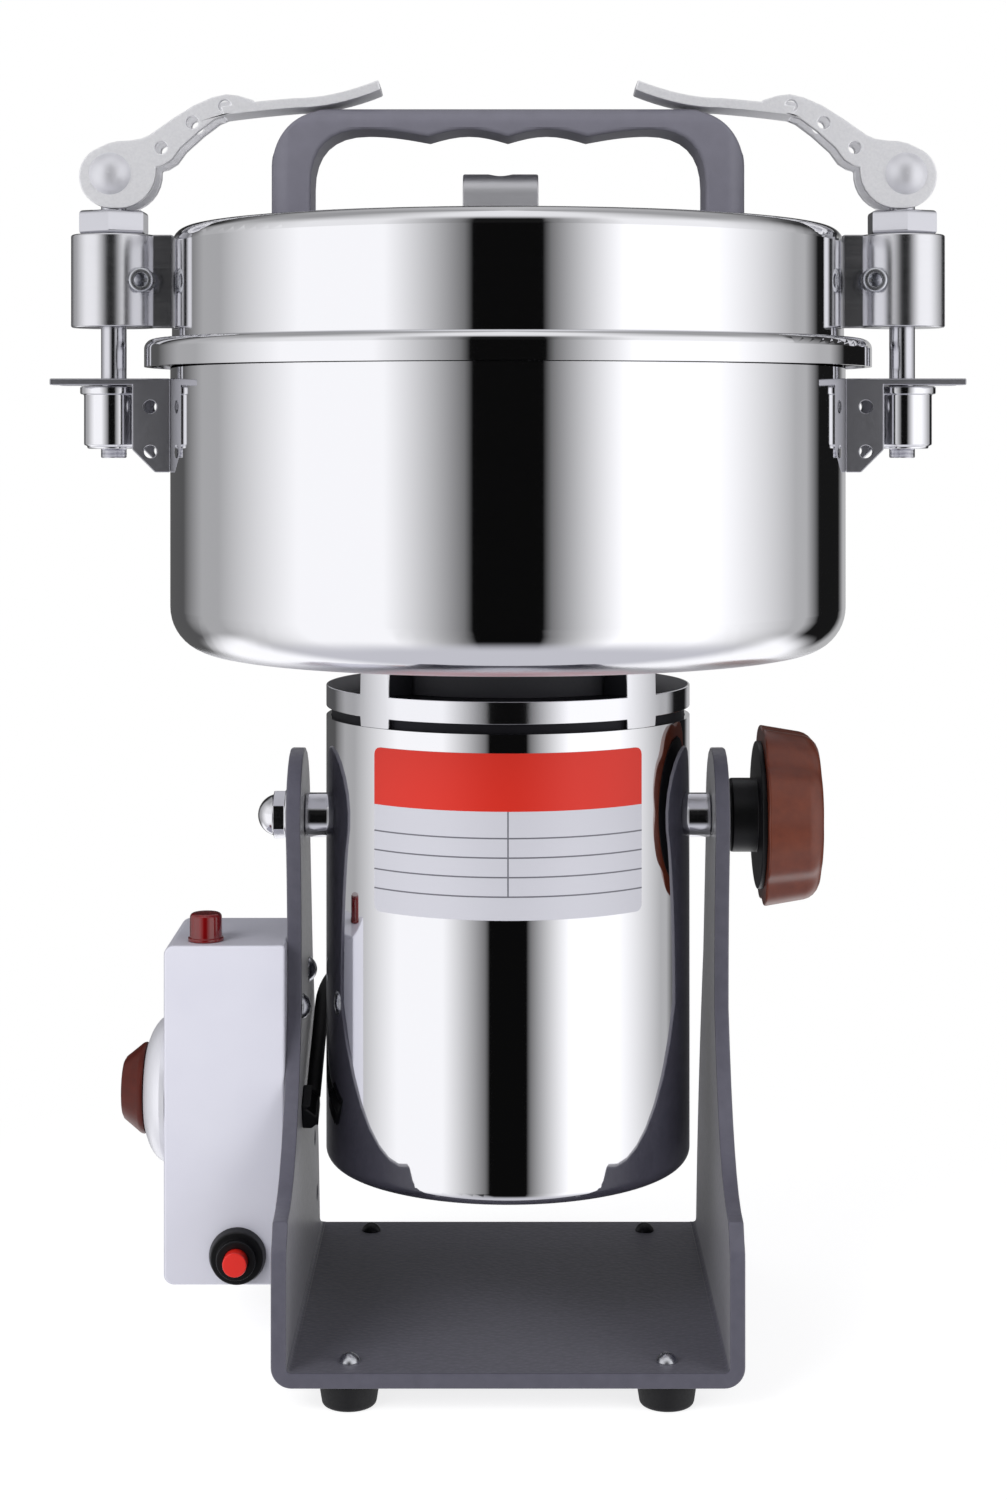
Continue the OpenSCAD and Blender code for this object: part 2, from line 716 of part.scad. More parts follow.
module upper_bracket() color("#8d8d94") difference() {
    union() {
        tube(ring_in, can_r, ring_z, ring_top);
        tube(can_in - spigot_t, can_in - fit_gap, can_top - spigot_h, ring_z);
        translate([0, 0, ring_z - hub_drop]) cylinder(r = hub_r, h = hub_drop + ring_h);
        at_posts(hub_r - spigot_t) translate([0, -spider_w / 2, ring_z]) {
            cube([ring_in - hub_r + 2 * spigot_t, spider_w, ring_h]);
        }
        intersection() {
            at_posts(post_in) translate([0, -post_w / 2, can_top]) cube([can_r, post_w, bowl_z - can_top]);
            translate([0, 0, can_top - cut]) cylinder(r = can_r, h = bowl_z - can_top + 2 * cut);
        }
    }
    translate([0, 0, ring_top - bearing_lid - upper_bearing_h]) {
        cylinder(d = upper_bearing_d, h = upper_bearing_h + bearing_lid + cut);
    }
    cylinder(d = upper_bearing_d - 2 * spigot_t, h = ring_top);
    at_posts(post_screw_r) translate([0, 0, floor_z - screw_l - cut]) {
        cylinder(d = screw_d, h = screw_l + cut);
    }
    at_posts(bolt_r) translate([0, 0, can_top - cut]) cylinder(d = bolt_d, h = slot_h + bolt_grip + cut);
}

// Black ring that closes the neck behind the posts
module neck_gasket() color("#17171a") tube(gasket_in, gasket_out, ring_top, bowl_z);

// Lower bracket: bearing cup and four arms to a rim inside the can
lower_rise = 12;
lower_z = can_z + lower_rise;
lower_t = 6;
lower_rim = 6;
lower_arm_w = 18;
lower_hub_r = 20;
lower_bearing_d = 32;
lower_bearing_h = 10;
lower_cup = 5;
lower_bearing_z = lower_z + lower_t - lower_bearing_h;
upper_bearing_z = ring_top - bearing_lid - upper_bearing_h;
holder_w = 11;

module at_brushes() for (turn = [90, 270]) rotate([0, 0, turn]) children();

module lower_bracket() color("#8d8d94") difference() {
    union() {
        tube(can_in - lower_rim, can_in - fit_gap, lower_z, lower_z + lower_t);
        translate([0, 0, lower_z - lower_cup]) cylinder(r = lower_hub_r, h = lower_cup + lower_t);
        at_posts(lower_hub_r - cut) translate([0, -lower_arm_w / 2, lower_z]) {
            cube([can_in - lower_hub_r - lower_rim / 2, lower_arm_w, lower_t]);
        }
        at_brushes() translate([lower_hub_r - cut, -holder_w / 2, lower_z]) {
            cube([can_in - lower_hub_r - lower_rim / 2, holder_w, lower_t]);
        }
    }
    translate([0, 0, lower_bearing_z]) cylinder(d = lower_bearing_d, h = lower_bearing_h + cut);
    translate([0, 0, lower_z - lower_cup - cut]) cylinder(d = tail_d + 4 * rest_gap, h = lower_cup);
    at_posts(bolt_r) translate([0, 0, lower_z - cut]) {
        cylinder(d = bolt_d + 2 * run_gap, h = lower_t + 2 * cut);
    }
}

module bearing(bore_d, d, z, h) tube(bore_d / 2 + run_gap, d / 2 - seat_gap, z, z + h);

module bearings() color("#b8bcc4") {
    bearing(tail_d, lower_bearing_d, lower_bearing_z, lower_bearing_h);
    bearing(shaft_d, upper_bearing_d, upper_bearing_z, upper_bearing_h);
}

// Two pole stator of the series motor
core_rise = 50;
core_z = can_z + core_rise;
core_over = 38.3;
core_h = can_h - core_rise - core_over;
core_gap = 3.8;
core_r = can_in - core_gap;
core_yoke = 11;
air_gap = 0.7;
coil_depth = 12.9;
armature_r = core_r - core_yoke - coil_depth;
pole_half_angle = 40;
coil_half_angle = 68;
coil_hole_angle = 41;
coil_rise = 10;
coil_gap = 0.5;

module stator_core() color("#5b6068") difference() {
    union() {
        tube(core_r - core_yoke, core_r, core_z, core_z + core_h);
        for (side = [0, 180]) rotate([0, 0, side]) {
            sector(armature_r + air_gap, core_r - core_yoke / 2, core_z, core_z + core_h, pole_half_angle);
        }
    }
    at_posts(bolt_r) translate([0, 0, core_z - cut]) {
        cylinder(d = bolt_d + 2 * run_gap, h = core_h + 2 * cut);
    }
}

module field_coils() color("#a4522a") for (side = [0, 180]) rotate([0, 0, side]) difference() {
    sector(
        armature_r + 2 * air_gap, core_r - core_yoke - coil_gap,
        core_z - coil_rise, core_z + core_h + coil_rise, coil_half_angle
    );
    sector(armature_r, core_r, core_z - coil_gap, core_z + core_h + coil_gap, coil_hole_angle);
}

// Long bolts that hold the stator between the two brackets
bolt_head_af = 7;
bolt_head_h = 4;

module tie_bolts() color("#a8a8ae") at_posts(bolt_r) {
    translate([0, 0, lower_z - bolt_head_h]) hex(bolt_head_af, bolt_head_h);
    translate([0, 0, lower_z - cut]) {
        cylinder(d = bolt_d - 2 * seat_gap, h = ring_z + bolt_grip - lower_z + cut - seat_gap);
    }
}

// Commutator, brushes and their holders
commutator_r = 17;
commutator_h = 16;
commutator_gap = 3.6;
commutator_z = lower_z + lower_t + commutator_gap;
segment_count = 24;
segment_slot = 0.6;
segment_depth = 1.5;
brush_w = 7;
brush_h = 11;
brush_in = 14.3;
brush_end = can_in - brush_in;
holder_wall = 2;

module brush_holders() color("#3a2f28") at_brushes() difference() {
    translate([commutator_r + holder_wall, -holder_w / 2, lower_z + lower_t]) {
        cube([brush_end - commutator_r, holder_w, commutator_z - lower_z - lower_t + commutator_h]);
    }
    translate([0, -brush_w / 2 - seat_gap, commutator_z + (commutator_h - brush_h) / 2 - seat_gap]) {
        cube([brush_end, brush_w + 2 * seat_gap, brush_h + 2 * seat_gap]);
    }
}

module carbon_brushes() color("#2b2b2e") at_brushes() {
    translate([commutator_r + rest_gap, -brush_w / 2, commutator_z + (commutator_h - brush_h) / 2]) {
        cube([brush_end - commutator_r - holder_wall - rest_gap, brush_w, brush_h]);
    }
}

module commutator() color("#b87333") difference() {
    tube(shaft_d / 2, commutator_r, commutator_z, commutator_z + commutator_h);
    for (i = [0:segment_count - 1]) rotate([0, 0, 360 * i / segment_count]) {
        translate([commutator_r - segment_depth, -segment_slot / 2, commutator_z + holder_wall]) {
            cube([2 * segment_depth, segment_slot, commutator_h]);
        }
    }
}

// Pivots: a collar, a flange inside the can and a journal in each ear
flange_t = 2.4;
trunnion_flange_d = 18;
flange_gap = 0.9;
flange_in = can_in - flange_gap;
collar_out = arm_in - rest_gap;
thread_d = 8;

module left_trunnion() color("#b5b5bb") mirror([1, 0, 0]) {
    pivot_rod(trunnion_flange_d / 2, flange_in - flange_t, flange_in);
    pivot_rod(collar_d / 2, flange_in - flange_t, collar_out);
    pivot_rod(journal_d / 2, collar_out - cut, stand_w / 2 + rest_gap / 2);
    pivot_rod(thread_d / 2, collar_out, stand_w / 2 + dome_nut_l / 2);
}

module right_trunnion() color("#b5b5bb") difference() {
    union() {
        pivot_rod(trunnion_flange_d / 2, flange_in - flange_t, flange_in);
        pivot_rod(collar_d / 2, flange_in - flange_t, collar_out);
        pivot_rod(journal_d / 2, collar_out - cut, stand_w / 2 - rest_gap);
    }
    pivot_rod(thread_d / 2 + run_gap, flange_in - 2 * flange_t, stand_w / 2 + cut);
}

dome_nut_l = 10;
dome_nut_af = 13;
dome_nut_washer = 1.2;

module pivot_nut() color("#c9c9cf") translate([-stand_w / 2 - rest_gap, 0, pivot_z]) rotate([0, -90, 0]) {
    dome_r = dome_nut_af / 2;
    difference() {
        union() {
            cylinder(d = dome_nut_af + 2 * dome_nut_washer, h = dome_nut_washer);
            hex(dome_nut_af, dome_nut_l / 2);
            intersection() {
                translate([0, 0, dome_nut_l - dome_r]) sphere(dome_r);
                cylinder(r = dome_nut_l, h = dome_nut_l);
            }
        }
        translate([0, 0, -cut]) cylinder(d = thread_d, h = dome_nut_l / 2 + cut);
    }
}

// Lock knob: moulded grip, black hub and a stud screwed into the right pivot
washer_t = 1.7;
washer_d = 22;
hub_t = 8;
hub_d = 23;
knob_skirt_t = 1.6;
knob_skirt_d = 46;
knob_x = stand_w / 2 + washer_t + hub_t;
knob_taper = 3;
knob_edge = 5;
lobe_r = 9;
lobe_depth = 2.4;
stud_l = 14;
cap_recess = 1;

module lock_stud() color("#1d1d20") {
    pivot_rod(washer_d / 2, stand_w / 2 + rest_gap, stand_w / 2 + washer_t);
    pivot_rod(hub_d / 2, stand_w / 2 + washer_t, knob_x);
    pivot_rod(knob_skirt_d / 2, knob_x, knob_x + knob_skirt_t);
    pivot_rod(thread_d / 2, stand_w / 2 - stud_l, knob_x + lock_knob_t / 2);
}

module lock_knob() color("#7a3526") translate([knob_x + knob_skirt_t, 0, pivot_z]) rotate([0, 90, 0]) {
    knob_r = lock_knob_d / 2;
    t = lock_knob_t - knob_skirt_t;
    top_r = knob_r - knob_taper - knob_edge;
    difference() {
        rotate_extrude() polygon(concat(
            [[0, 0], [knob_r, 0]],
            bend([knob_r - knob_taper / 3, t / 3], [knob_r - knob_taper, t], [top_r, t], curve_steps),
            [[top_r, t], [hub_d / 2, t], [hub_d / 2, t - cap_recess], [0, t - cap_recess]]
        ));
        for (i = [1:2:2 * lock_knob_lobes]) rotate([0, 0, 180 * i / lock_knob_lobes]) {
            translate([knob_r + lobe_r - lobe_depth, 0, -cut]) cylinder(r = lobe_r, h = t + 2 * cut);
        }
        translate([0, 0, -cut]) cylinder(d = thread_d, h = lock_knob_t / 2 - knob_skirt_t + cut);
    }
}

// Blank plate wrapped round the front of the can
plate_half_angle = 45;
plate_h = 50;
plate_drop = 4.3;
plate_z = can_top - plate_drop - plate_h;
plate_t = 0.4;

module rating_plate() color("#d9d9dd") rotate([0, 0, -90]) {
    sector(can_r + seat_gap, can_r + seat_gap + plate_t, plate_z, plate_z + plate_h, plate_half_angle);
}

// Grinding bowl with a flat rim under the lid's skirt
rim_gap = 2.6;
seal_hole_d = 32;

module bowl() color("#d5d5da") difference() {
    union() {
        rotate_extrude() difference() {
            cup_section(bowl_r, bowl_z, rim_z, bowl_corner);
            cup_section(bowl_r - bowl_wall, floor_z, rim_z + cut, bowl_corner - bowl_wall);
        }
        tube(bowl_r - bowl_wall, flange_r - rim_gap, rim_z - bowl_wall, rim_z);
    }
    translate([0, 0, bowl_z - cut]) cylinder(d = seal_hole_d + 2 * seat_gap, h = bowl_wall + 2 * cut);
    at_posts(post_screw_r) translate([0, 0, bowl_z - cut]) {
        cylinder(d = screw_d + 2 * run_gap, h = bowl_wall + 2 * cut);
    }
}

// Pan head screws: four through the bowl floor, two up into the handle
handle_screw_x = handle_w / 2 - handle_leg / 2;
pan_edge = 1;

module pan_screw() {
    rotate_extrude() polygon(concat(
        [[0, 0], [screw_head_d / 2, 0]],
        arc([screw_head_d / 2 - pan_edge, screw_head_h - pan_edge], pan_edge, 0, 90, 3),
        [[0, screw_head_h]]
    ));
    translate([0, 0, -screw_l]) cylinder(d = screw_d - 2 * seat_gap, h = screw_l + cut);
}

module pan_screws() color("#c6c6cc") {
    at_posts(post_screw_r) translate([0, 0, floor_z]) pan_screw();
    for (side = [-1, 1]) translate([side * handle_screw_x, 0, lid_top - lid_wall]) {
        mirror([0, 0, 1]) pan_screw();
    }
}

// Bush in the bowl floor that carries the shaft seal
seal_flange_d = 46;
seal_flange_t = 2.5;
seal_d = 24;
seal_drop = 9;
seal_lip = 1.5;
seal_bore_gap = 2;

module seal_housing() color("#bfbfc6") difference() {
    union() {
        translate([0, 0, floor_z]) cylinder(d = seal_flange_d, h = seal_flange_t);
        translate([0, 0, floor_z - seal_drop]) cylinder(d = seal_hole_d, h = seal_drop + cut);
    }
    translate([0, 0, floor_z - seal_drop + seal_lip]) {
        cylinder(d = seal_d + 2 * seat_gap, h = seal_drop + seal_flange_t);
    }
    translate([0, 0, floor_z - seal_drop - cut]) cylinder(d = shaft_d + 2 * seal_bore_gap, h = seal_drop);
}

module shaft_seal() color("#1c1c1f") {
    tube(shaft_d / 2 + run_gap, seal_d / 2, floor_z - seal_drop + seal_lip, floor_z + seal_flange_t);
}

// Catch brackets on the bowl wall: a slotted tab over two side cheeks
rod_x = bowl_r + rod_out;
catch_reach = 18;
catch_w = 26;
catch_slot = rod_d + 1;
catch_drop = 29;
catch_cheek = 11;
catch_chamfer = 7;
catch_hole_d = 4;
catch_gap = 3.5;
catch_z = flange_top - skirt_h - catch_gap;
catch_hole_shares = [0.3, 0.78];

module catch_bracket() difference() {
    union() {
        translate([bowl_r - catch_w / 4, -catch_w / 2, catch_z - catch_t]) {
            cube([catch_w / 4 + rod_out + catch_reach, catch_w, catch_t]);
        }
        for (y = [catch_w / 2, catch_t - catch_w / 2]) translate([0, y, 0]) rotate([90, 0, 0]) {
            linear_extrude(catch_t) polygon([
                [bowl_r - catch_w / 4, catch_z - catch_t / 2],
                [bowl_r + catch_cheek, catch_z - catch_t / 2],
                [bowl_r + catch_cheek, catch_z - catch_drop + catch_chamfer],
                [bowl_r + catch_cheek - catch_chamfer, catch_z - catch_drop],
                [bowl_r - catch_w / 4, catch_z - catch_drop]
            ]);
        }
    }
    translate([0, 0, catch_z - catch_drop - cut]) cylinder(r = bowl_r + seat_gap, h = catch_drop + 2 * cut);
    translate([rod_x, 0, catch_z - catch_t - cut]) cylinder(d = catch_slot, h = catch_t + 2 * cut);
    translate([rod_x, -catch_slot / 2, catch_z - catch_t - cut]) {
        cube([rod_out + catch_reach, catch_slot, catch_t + 2 * cut]);
    }
    for (share = catch_hole_shares) {
        translate([bowl_r + catch_cheek / 2, catch_w, catch_z - share * catch_drop]) rotate([90, 0, 0]) {
            cylinder(d = catch_hole_d, h = 2 * catch_w);
        }
    }
}

module catch_brackets() color("#b9b9c0") {
    catch_bracket();
    mirror([1, 0, 0]) catch_bracket();
}

// Lid: skirt over the rim, wall and top
skirt_round = 3;

module lid_shell() color("#dadadf") difference() {
    rotate_extrude() difference() {
        union() {
            translate([0, flange_top - skirt_h]) square([flange_r, skirt_h - skirt_round]);
            translate([0, flange_top - skirt_round]) square([flange_r - skirt_round, skirt_round]);
            translate([flange_r - skirt_round, flange_top - skirt_round]) circle(skirt_round);
            translate([0, flange_top]) square([lid_r, lid_h - lid_corner]);
            translate([0, flange_top - cut]) square([lid_r - lid_corner, lid_h + cut]);
            translate([lid_r - lid_corner, lid_top - lid_corner]) circle(lid_corner);
        }
        translate([0, flange_top - skirt_h - cut]) square([flange_r - lid_wall, skirt_h - lid_wall + cut]);
        inner = lid_corner - lid_wall;
        translate([0, lid_z - cut]) square([lid_r - lid_wall, lid_h - inner + cut]);
        translate([0, lid_z]) square([lid_r - lid_wall - inner, lid_h]);
        translate([lid_r - lid_wall - inner, lid_top - lid_wall - inner]) circle(inner);
    }
    for (side = [-1, 1]) translate([side * handle_screw_x, 0, lid_top - lid_wall - cut]) {
        cylinder(d = screw_d + 2 * run_gap, h = lid_wall + 2 * cut);
    }
}

// Soft ring between the bowl's rim and the lid
gasket_lap = 0.6;

module lid_gasket() color("#e4e2dc") {
    tube(bowl_r - bowl_wall, flange_r - rim_gap - gasket_lap, rim_z, lid_z);
}

// Bow handle with finger grooves under its bar
handle_round = 19;
handle_inner = 17;
grip_pitch = 24.6;
grip_dip = 2.3;
handle_edge = 5;
handle_plan = 6;

// A finger groove between two ridges, as part of the handle's outline
function groove(x0, x1, z, dip, n) =
    [for (i = [0:n - 1]) [x0 + (x1 - x0) * i / n, z + dip * sin(180 * i / n)]];

// The outer half of a groove, from its deepest place at x0 to the ridge at x1
function half_groove(x0, x1, z, dip, n) =
    [for (i = [0:n - 1]) [x0 + (x1 - x0) * i / n, z + dip * cos(90 * i / n)]];

module handle_outline() {
    out = handle_w / 2;
    inside = out - handle_leg;
    under = handle_top - handle_bar;
    deep = under + grip_dip;
    bow = deep - handle_inner;
    flat = inside - handle_inner;
    inner_end = half_groove(flat, grip_pitch, under, grip_dip, curve_steps);
    difference() {
        union() {
            translate([-out, lid_top]) square([2 * out, handle_h - handle_round]);
            translate([handle_round - out, lid_top]) square([2 * (out - handle_round), handle_h]);
            for (x = [handle_round - out, out - handle_round]) translate([x, handle_top - handle_round]) {
                circle(handle_round);
            }
        }
        polygon(concat(
            [[-inside, lid_top - cut]],
            bend([-inside, bow], [-inside, deep], [-flat, deep], curve_steps),
            half_groove(-flat, -grip_pitch, under, grip_dip, curve_steps),
            groove(-grip_pitch, 0, under, grip_dip, curve_steps),
            groove(0, grip_pitch, under, grip_dip, curve_steps),
            [[grip_pitch, under]],
            [for (i = [curve_steps - 1:-1:1]) inner_end[i]],
            bend([flat, deep], [inside, deep], [inside, bow], curve_steps),
            [[inside, bow], [inside, lid_top - cut]]
        ));
    }
}

module handle_plan_outline() {
    x = handle_w / 2 - handle_plan;
    y = handle_depth / 2 - handle_plan;
    translate([-x, -y - handle_plan]) square([2 * x, 2 * (y + handle_plan)]);
    translate([-x - handle_plan, -y]) square([2 * (x + handle_plan), 2 * y]);
    for (sx = [-1, 1]) for (sy = [-1, 1]) translate([sx * x, sy * y]) circle(handle_plan);
}

module handle_side_outline() {
    y = handle_depth / 2 - handle_edge;
    top = handle_top - handle_edge;
    translate([-y - handle_edge, lid_top]) square([2 * (y + handle_edge), handle_h - handle_edge]);
    translate([-y, lid_top]) square([2 * y, handle_h]);
    for (side = [-1, 1]) translate([side * y, top]) circle(handle_edge);
}

module lid_handle() color("#75747e") difference() {
    intersection() {
        translate([0, handle_depth / 2, 0]) rotate([90, 0, 0]) linear_extrude(handle_depth) handle_outline();
        translate([0, 0, lid_top]) linear_extrude(handle_h) handle_plan_outline();
        translate([-handle_w / 2, 0, 0]) rotate([90, 0, 90]) linear_extrude(handle_w) handle_side_outline();
    }
    for (side = [-1, 1]) translate([side * handle_screw_x, 0, lid_top - cut]) {
        cylinder(d = screw_d, h = screw_l + cut);
    }
}

// Bent strap on top of the lid, under the handle
strap_w = 23.5;
strap_x = -2.3;
strap_h = 17.7;
strap_t = 2;
strap_depth = 16;
strap_foot = 9;

module lid_strap() color("#9a9aa2") translate([strap_x, 0, lid_top]) difference() {
    union() {
        translate([-strap_w / 2, -strap_depth / 2, 0]) cube([strap_w, strap_depth, strap_h]);
        translate([-strap_w / 2, -strap_depth / 2 - strap_foot, 0]) {
            cube([strap_w, strap_depth + 2 * strap_foot, strap_t]);
        }
    }
    translate([-strap_w / 2 - cut, strap_t - strap_depth / 2, -cut]) {
        cube([strap_w + 2 * cut, strap_depth - 2 * strap_t, strap_h - strap_t + cut]);
    }
    translate([0, 0, strap_h - strap_t - cut]) cylinder(d = strap_foot, h = strap_t + 2 * cut);
}

// Clamp lugs: a barrel for the tie rod on a web from the lid wall
web_w = 14;
rod_gap = 0.08;
lug_screw_seat = web_w / 2;
lug_screw_out = 8.5;
lug_screw_x = bowl_r + lug_screw_out;
lug_screw_d = 4;
lug_screw_head_d = 7.5;
lug_screw_head_h = 2.4;
lug_screw_z = lug_z + lug_h / 2;

module clamp_lug() difference() {
    union() {
        translate([rod_x, 0, lug_z]) cylinder(d = lug_d, h = lug_h);
        translate([lid_r - lug_d / 4, -web_w / 2, lug_z]) cube([lug_d / 4 + rod_x - lid_r, web_w, lug_h]);
    }
    translate([0, 0, lug_z - cut]) cylinder(r = lid_r + seat_gap, h = lug_h + 2 * cut);
    translate([rod_x, 0, lug_z - cut]) cylinder(d = rod_d + 2 * rod_gap, h = lug_h + 2 * cut);
    translate([lug_screw_x, lug_d, lug_screw_z]) rotate([90, 0, 0]) {
        cylinder(d = lug_screw_d + 2 * run_gap, h = 2 * lug_d);
    }
    for (side = [-1, 1]) translate([lug_screw_x, side * lug_screw_seat, lug_screw_z]) {
        rotate([-90 * side, 0, 0]) cylinder(d = lug_screw_head_d + 2 * run_gap, h = lug_d);
    }
}

module clamp_lugs() color("#c0c0c6") {
    clamp_lug();
    mirror([1, 0, 0]) clamp_lug();
}

module cam_seat() translate([rod_x, 0, lug_top]) difference() {
    hex(seat_af, seat_h);
    translate([0, 0, -cut]) cylinder(d = rod_d + 2 * rest_gap, h = seat_h + 2 * cut);
}

module cam_seats() color("#cfcfd5") {
    cam_seat();
    mirror([1, 0, 0]) cam_seat();
}

// Cross screws through the lug webs
module lug_screw() translate([lug_screw_x, -lug_screw_seat, lug_screw_z]) rotate([90, 0, 0]) {
    difference() {
        dome_screw(lug_screw_d, 2 * lug_screw_seat, lug_screw_head_d, lug_screw_head_h);
        for (turn = [0, 90]) rotate([0, 0, turn]) {
            translate([-lug_screw_head_d / 4, -lug_screw_d / 8, lug_screw_head_h / 2]) {
                cube([lug_screw_head_d / 2, lug_screw_d / 4, lug_screw_head_h]);
            }
        }
    }
}

module lug_screws() color("#a3a3aa") {
    lug_screw();
    mirror([1, 0, 0]) lug_screw();
}

// Motor shaft in steps, from the tail up to the thread for the blade nut
tail_out = 0.5;
tail_z = lower_bearing_z - tail_out;
blade_d = 10;
shaft_collar_d = 20;
shaft_collar_h = 3;
collar_gap = 0.8;
collar_z = floor_z + seal_flange_t + collar_gap;
blade_z = collar_z + shaft_collar_h;
upper_blade_z = blade_z + blade_t + spacer_h;
blade_nut_h = 8;
thread_out = 1.5;
blade_nut_af = 17;
blade_washer_d = 24;
blade_nut_z = upper_blade_z + blade_t;

module motor_shaft() color("#c8c8ce") {
    step_z = lower_bearing_z + lower_bearing_h + rest_gap;
    translate([0, 0, tail_z]) cylinder(d = tail_d, h = commutator_z - tail_z);
    translate([0, 0, step_z]) cylinder(d = shaft_d, h = collar_z + shaft_collar_h / 2 - step_z);
    translate([0, 0, collar_z]) cylinder(d = shaft_collar_d, h = shaft_collar_h);
    translate([0, 0, blade_z]) cylinder(d = blade_d, h = blade_nut_z - blade_z + blade_nut_h + thread_out);
}

module armature_core() color("#5b6068") tube(shaft_d / 2, armature_r, core_z, core_z + core_h);

winding_step = 3.6;
winding_r = armature_r - winding_step;
winding_h = 11;
winding_in = 11;
winding_lap = 1;
winding_round_share = 0.68;

module armature_windings() color("#b3602f") {
    for (z0 = [core_z - winding_h, core_z + core_h]) rotate_extrude() intersection() {
        translate([winding_in, z0]) square([winding_r - winding_in, winding_h]);
        translate([(winding_r + winding_in) / 2, z0 + winding_h / 2]) circle(winding_h * winding_round_share);
    }
    tube(shaft_d / 2, winding_in + winding_lap, core_z - winding_h, core_z);
    tube(shaft_d / 2, winding_in + winding_lap, core_z + core_h, core_z + core_h + winding_h);
}

// Cooling fan under the upper bearing
fan_rise = 18;
fan_z = core_z + core_h + fan_rise;
fan_gap = 1.8;
fan_r = bolt_r - bolt_d / 2 - fan_gap;
fan_plate = 2;
fan_h = 11;
fan_blades = 9;
fan_hub_r = 13;
fan_blade_t = 1.6;
fan_blade_in = 19;
fan_lean_angle = 25;
fan_edge = 1;

module cooling_fan() color("#2f2f33") difference() {
    union() {
        translate([0, 0, fan_z]) cylinder(r = fan_r, h = fan_plate);
        translate([0, 0, fan_z]) cylinder(r = fan_hub_r, h = fan_h);
        intersection() {
            for (i = [0:fan_blades - 1]) rotate([0, 0, 360 * i / fan_blades]) {
                translate([fan_blade_in, 0, fan_z + fan_plate / 2]) rotate([0, 0, fan_lean_angle]) {
                    translate([0, -fan_blade_t / 2, 0]) cube([fan_r, fan_blade_t, fan_h - fan_plate]);
                }
            }
            translate([0, 0, fan_z]) cylinder(r = fan_r - fan_edge, h = fan_h);
        }
    }
    translate([0, 0, fan_z - cut]) cylinder(d = shaft_d, h = fan_h + 2 * cut);
}

// Two winged blades with a bevel ground along each leading edge
blade_hub_d = 30;
blade_root_share = 0.5;
blade_tip_share = 0.62;
blade_sweep_share = 0.9;
lower_blade_w = 30;
upper_blade_w = 24;
blade_bevel = 5;
tip_rise = 14;
tip_l = 22.4;
tip_share = 0.82;
tip_lean_angle = 35;

// Plan of one wing towards +X: straight trailing edge, swept leading edge
module wing_plan(reach, w) {
    polygon([
        [0, -w * blade_root_share],
        [reach - w / 3, -w * blade_root_share],
        [reach, -w * blade_root_share / 3],
        [reach * blade_sweep_share, w * blade_tip_share / 2],
        [blade_hub_d / 3, w * blade_root_share],
        [0, w * blade_root_share]
    ]);
}

module blade(reach, w) difference() {
    union() {
        cylinder(d = blade_hub_d, h = blade_t);
        for (side = [0, 180]) rotate([0, 0, side]) linear_extrude(blade_t) wing_plan(reach, w);
    }
    translate([0, 0, -cut]) cylinder(d = blade_d, h = blade_t + 2 * cut);
    for (side = [0, 180]) rotate([0, 0, side]) {
        translate([blade_hub_d / 2, -w * blade_root_share, 0]) rotate([atan(blade_t / blade_bevel), 0, 0]) {
            translate([0, -w, 0]) cube([reach, w, 4 * blade_t]);
        }
    }
}

module lower_blade() color("#c2c6cc") translate([0, 0, blade_z]) blade(lower_blade_l / 2, lower_blade_w);

module upper_blade() color("#c2c6cc") translate([0, 0, upper_blade_z]) rotate([0, 0, 90]) {
    flat = upper_blade_l / 2 - tip_rise;
    blade(flat, upper_blade_w);
    for (side = [0, 180]) rotate([0, 0, side]) {
        translate([flat * tip_share, -upper_blade_w / 4, 0]) rotate([0, -tip_lean_angle, 0]) {
            cube([tip_l, upper_blade_w / 2, blade_t]);
        }
    }
}

module blade_spacer() color("#b4b4ba") tube(blade_d / 2, blade_hub_d / 3, blade_z + blade_t, upper_blade_z);

module blade_nut() color("#cfcfd5") translate([0, 0, blade_nut_z]) difference() {
    union() {
        cylinder(d = blade_washer_d, h = blade_t);
        hex(blade_nut_af, blade_nut_h);
    }
    translate([0, 0, -cut]) cylinder(d = blade_d, h = blade_nut_h + 2 * cut);
}

// Tie rods: eye on the cam pin, round rod through the lug and down past the catch
cam_pin_z = lug_top + seat_h + rest_gap + cam_rise;
eye_r = 7;
rod_tail = 3.2;
rod_end_z = catch_z - catch_t - nut_h - rod_tail;

module tie_rod() difference() {
    union() {
        translate([rod_x, 0, rod_end_z]) cylinder(d = rod_d, h = cam_pin_z - rod_end_z - cam_pin_d / 2);
        translate([rod_x, (fork_gap - 2 * rest_gap) / 2, cam_pin_z]) rotate([90, 0, 0]) {
            cylinder(r = eye_r, h = fork_gap - 2 * rest_gap);
        }
    }
    translate([rod_x, fork_gap, cam_pin_z]) rotate([90, 0, 0]) {
        cylinder(d = cam_pin_d + 2 * run_gap, h = 2 * fork_gap);
    }
}

module left_tie_rod() color("#b9b9c0") mirror([1, 0, 0]) tie_rod();
module right_tie_rod() color("#b9b9c0") tie_rod();

// Adjusting nuts under the catches, with a wider collar on top
nut_collar_out = 1.2;
nut_collar_d = nut_d + 2 * nut_collar_out;
nut_collar_h = 2.5;
nut_groove = 1;

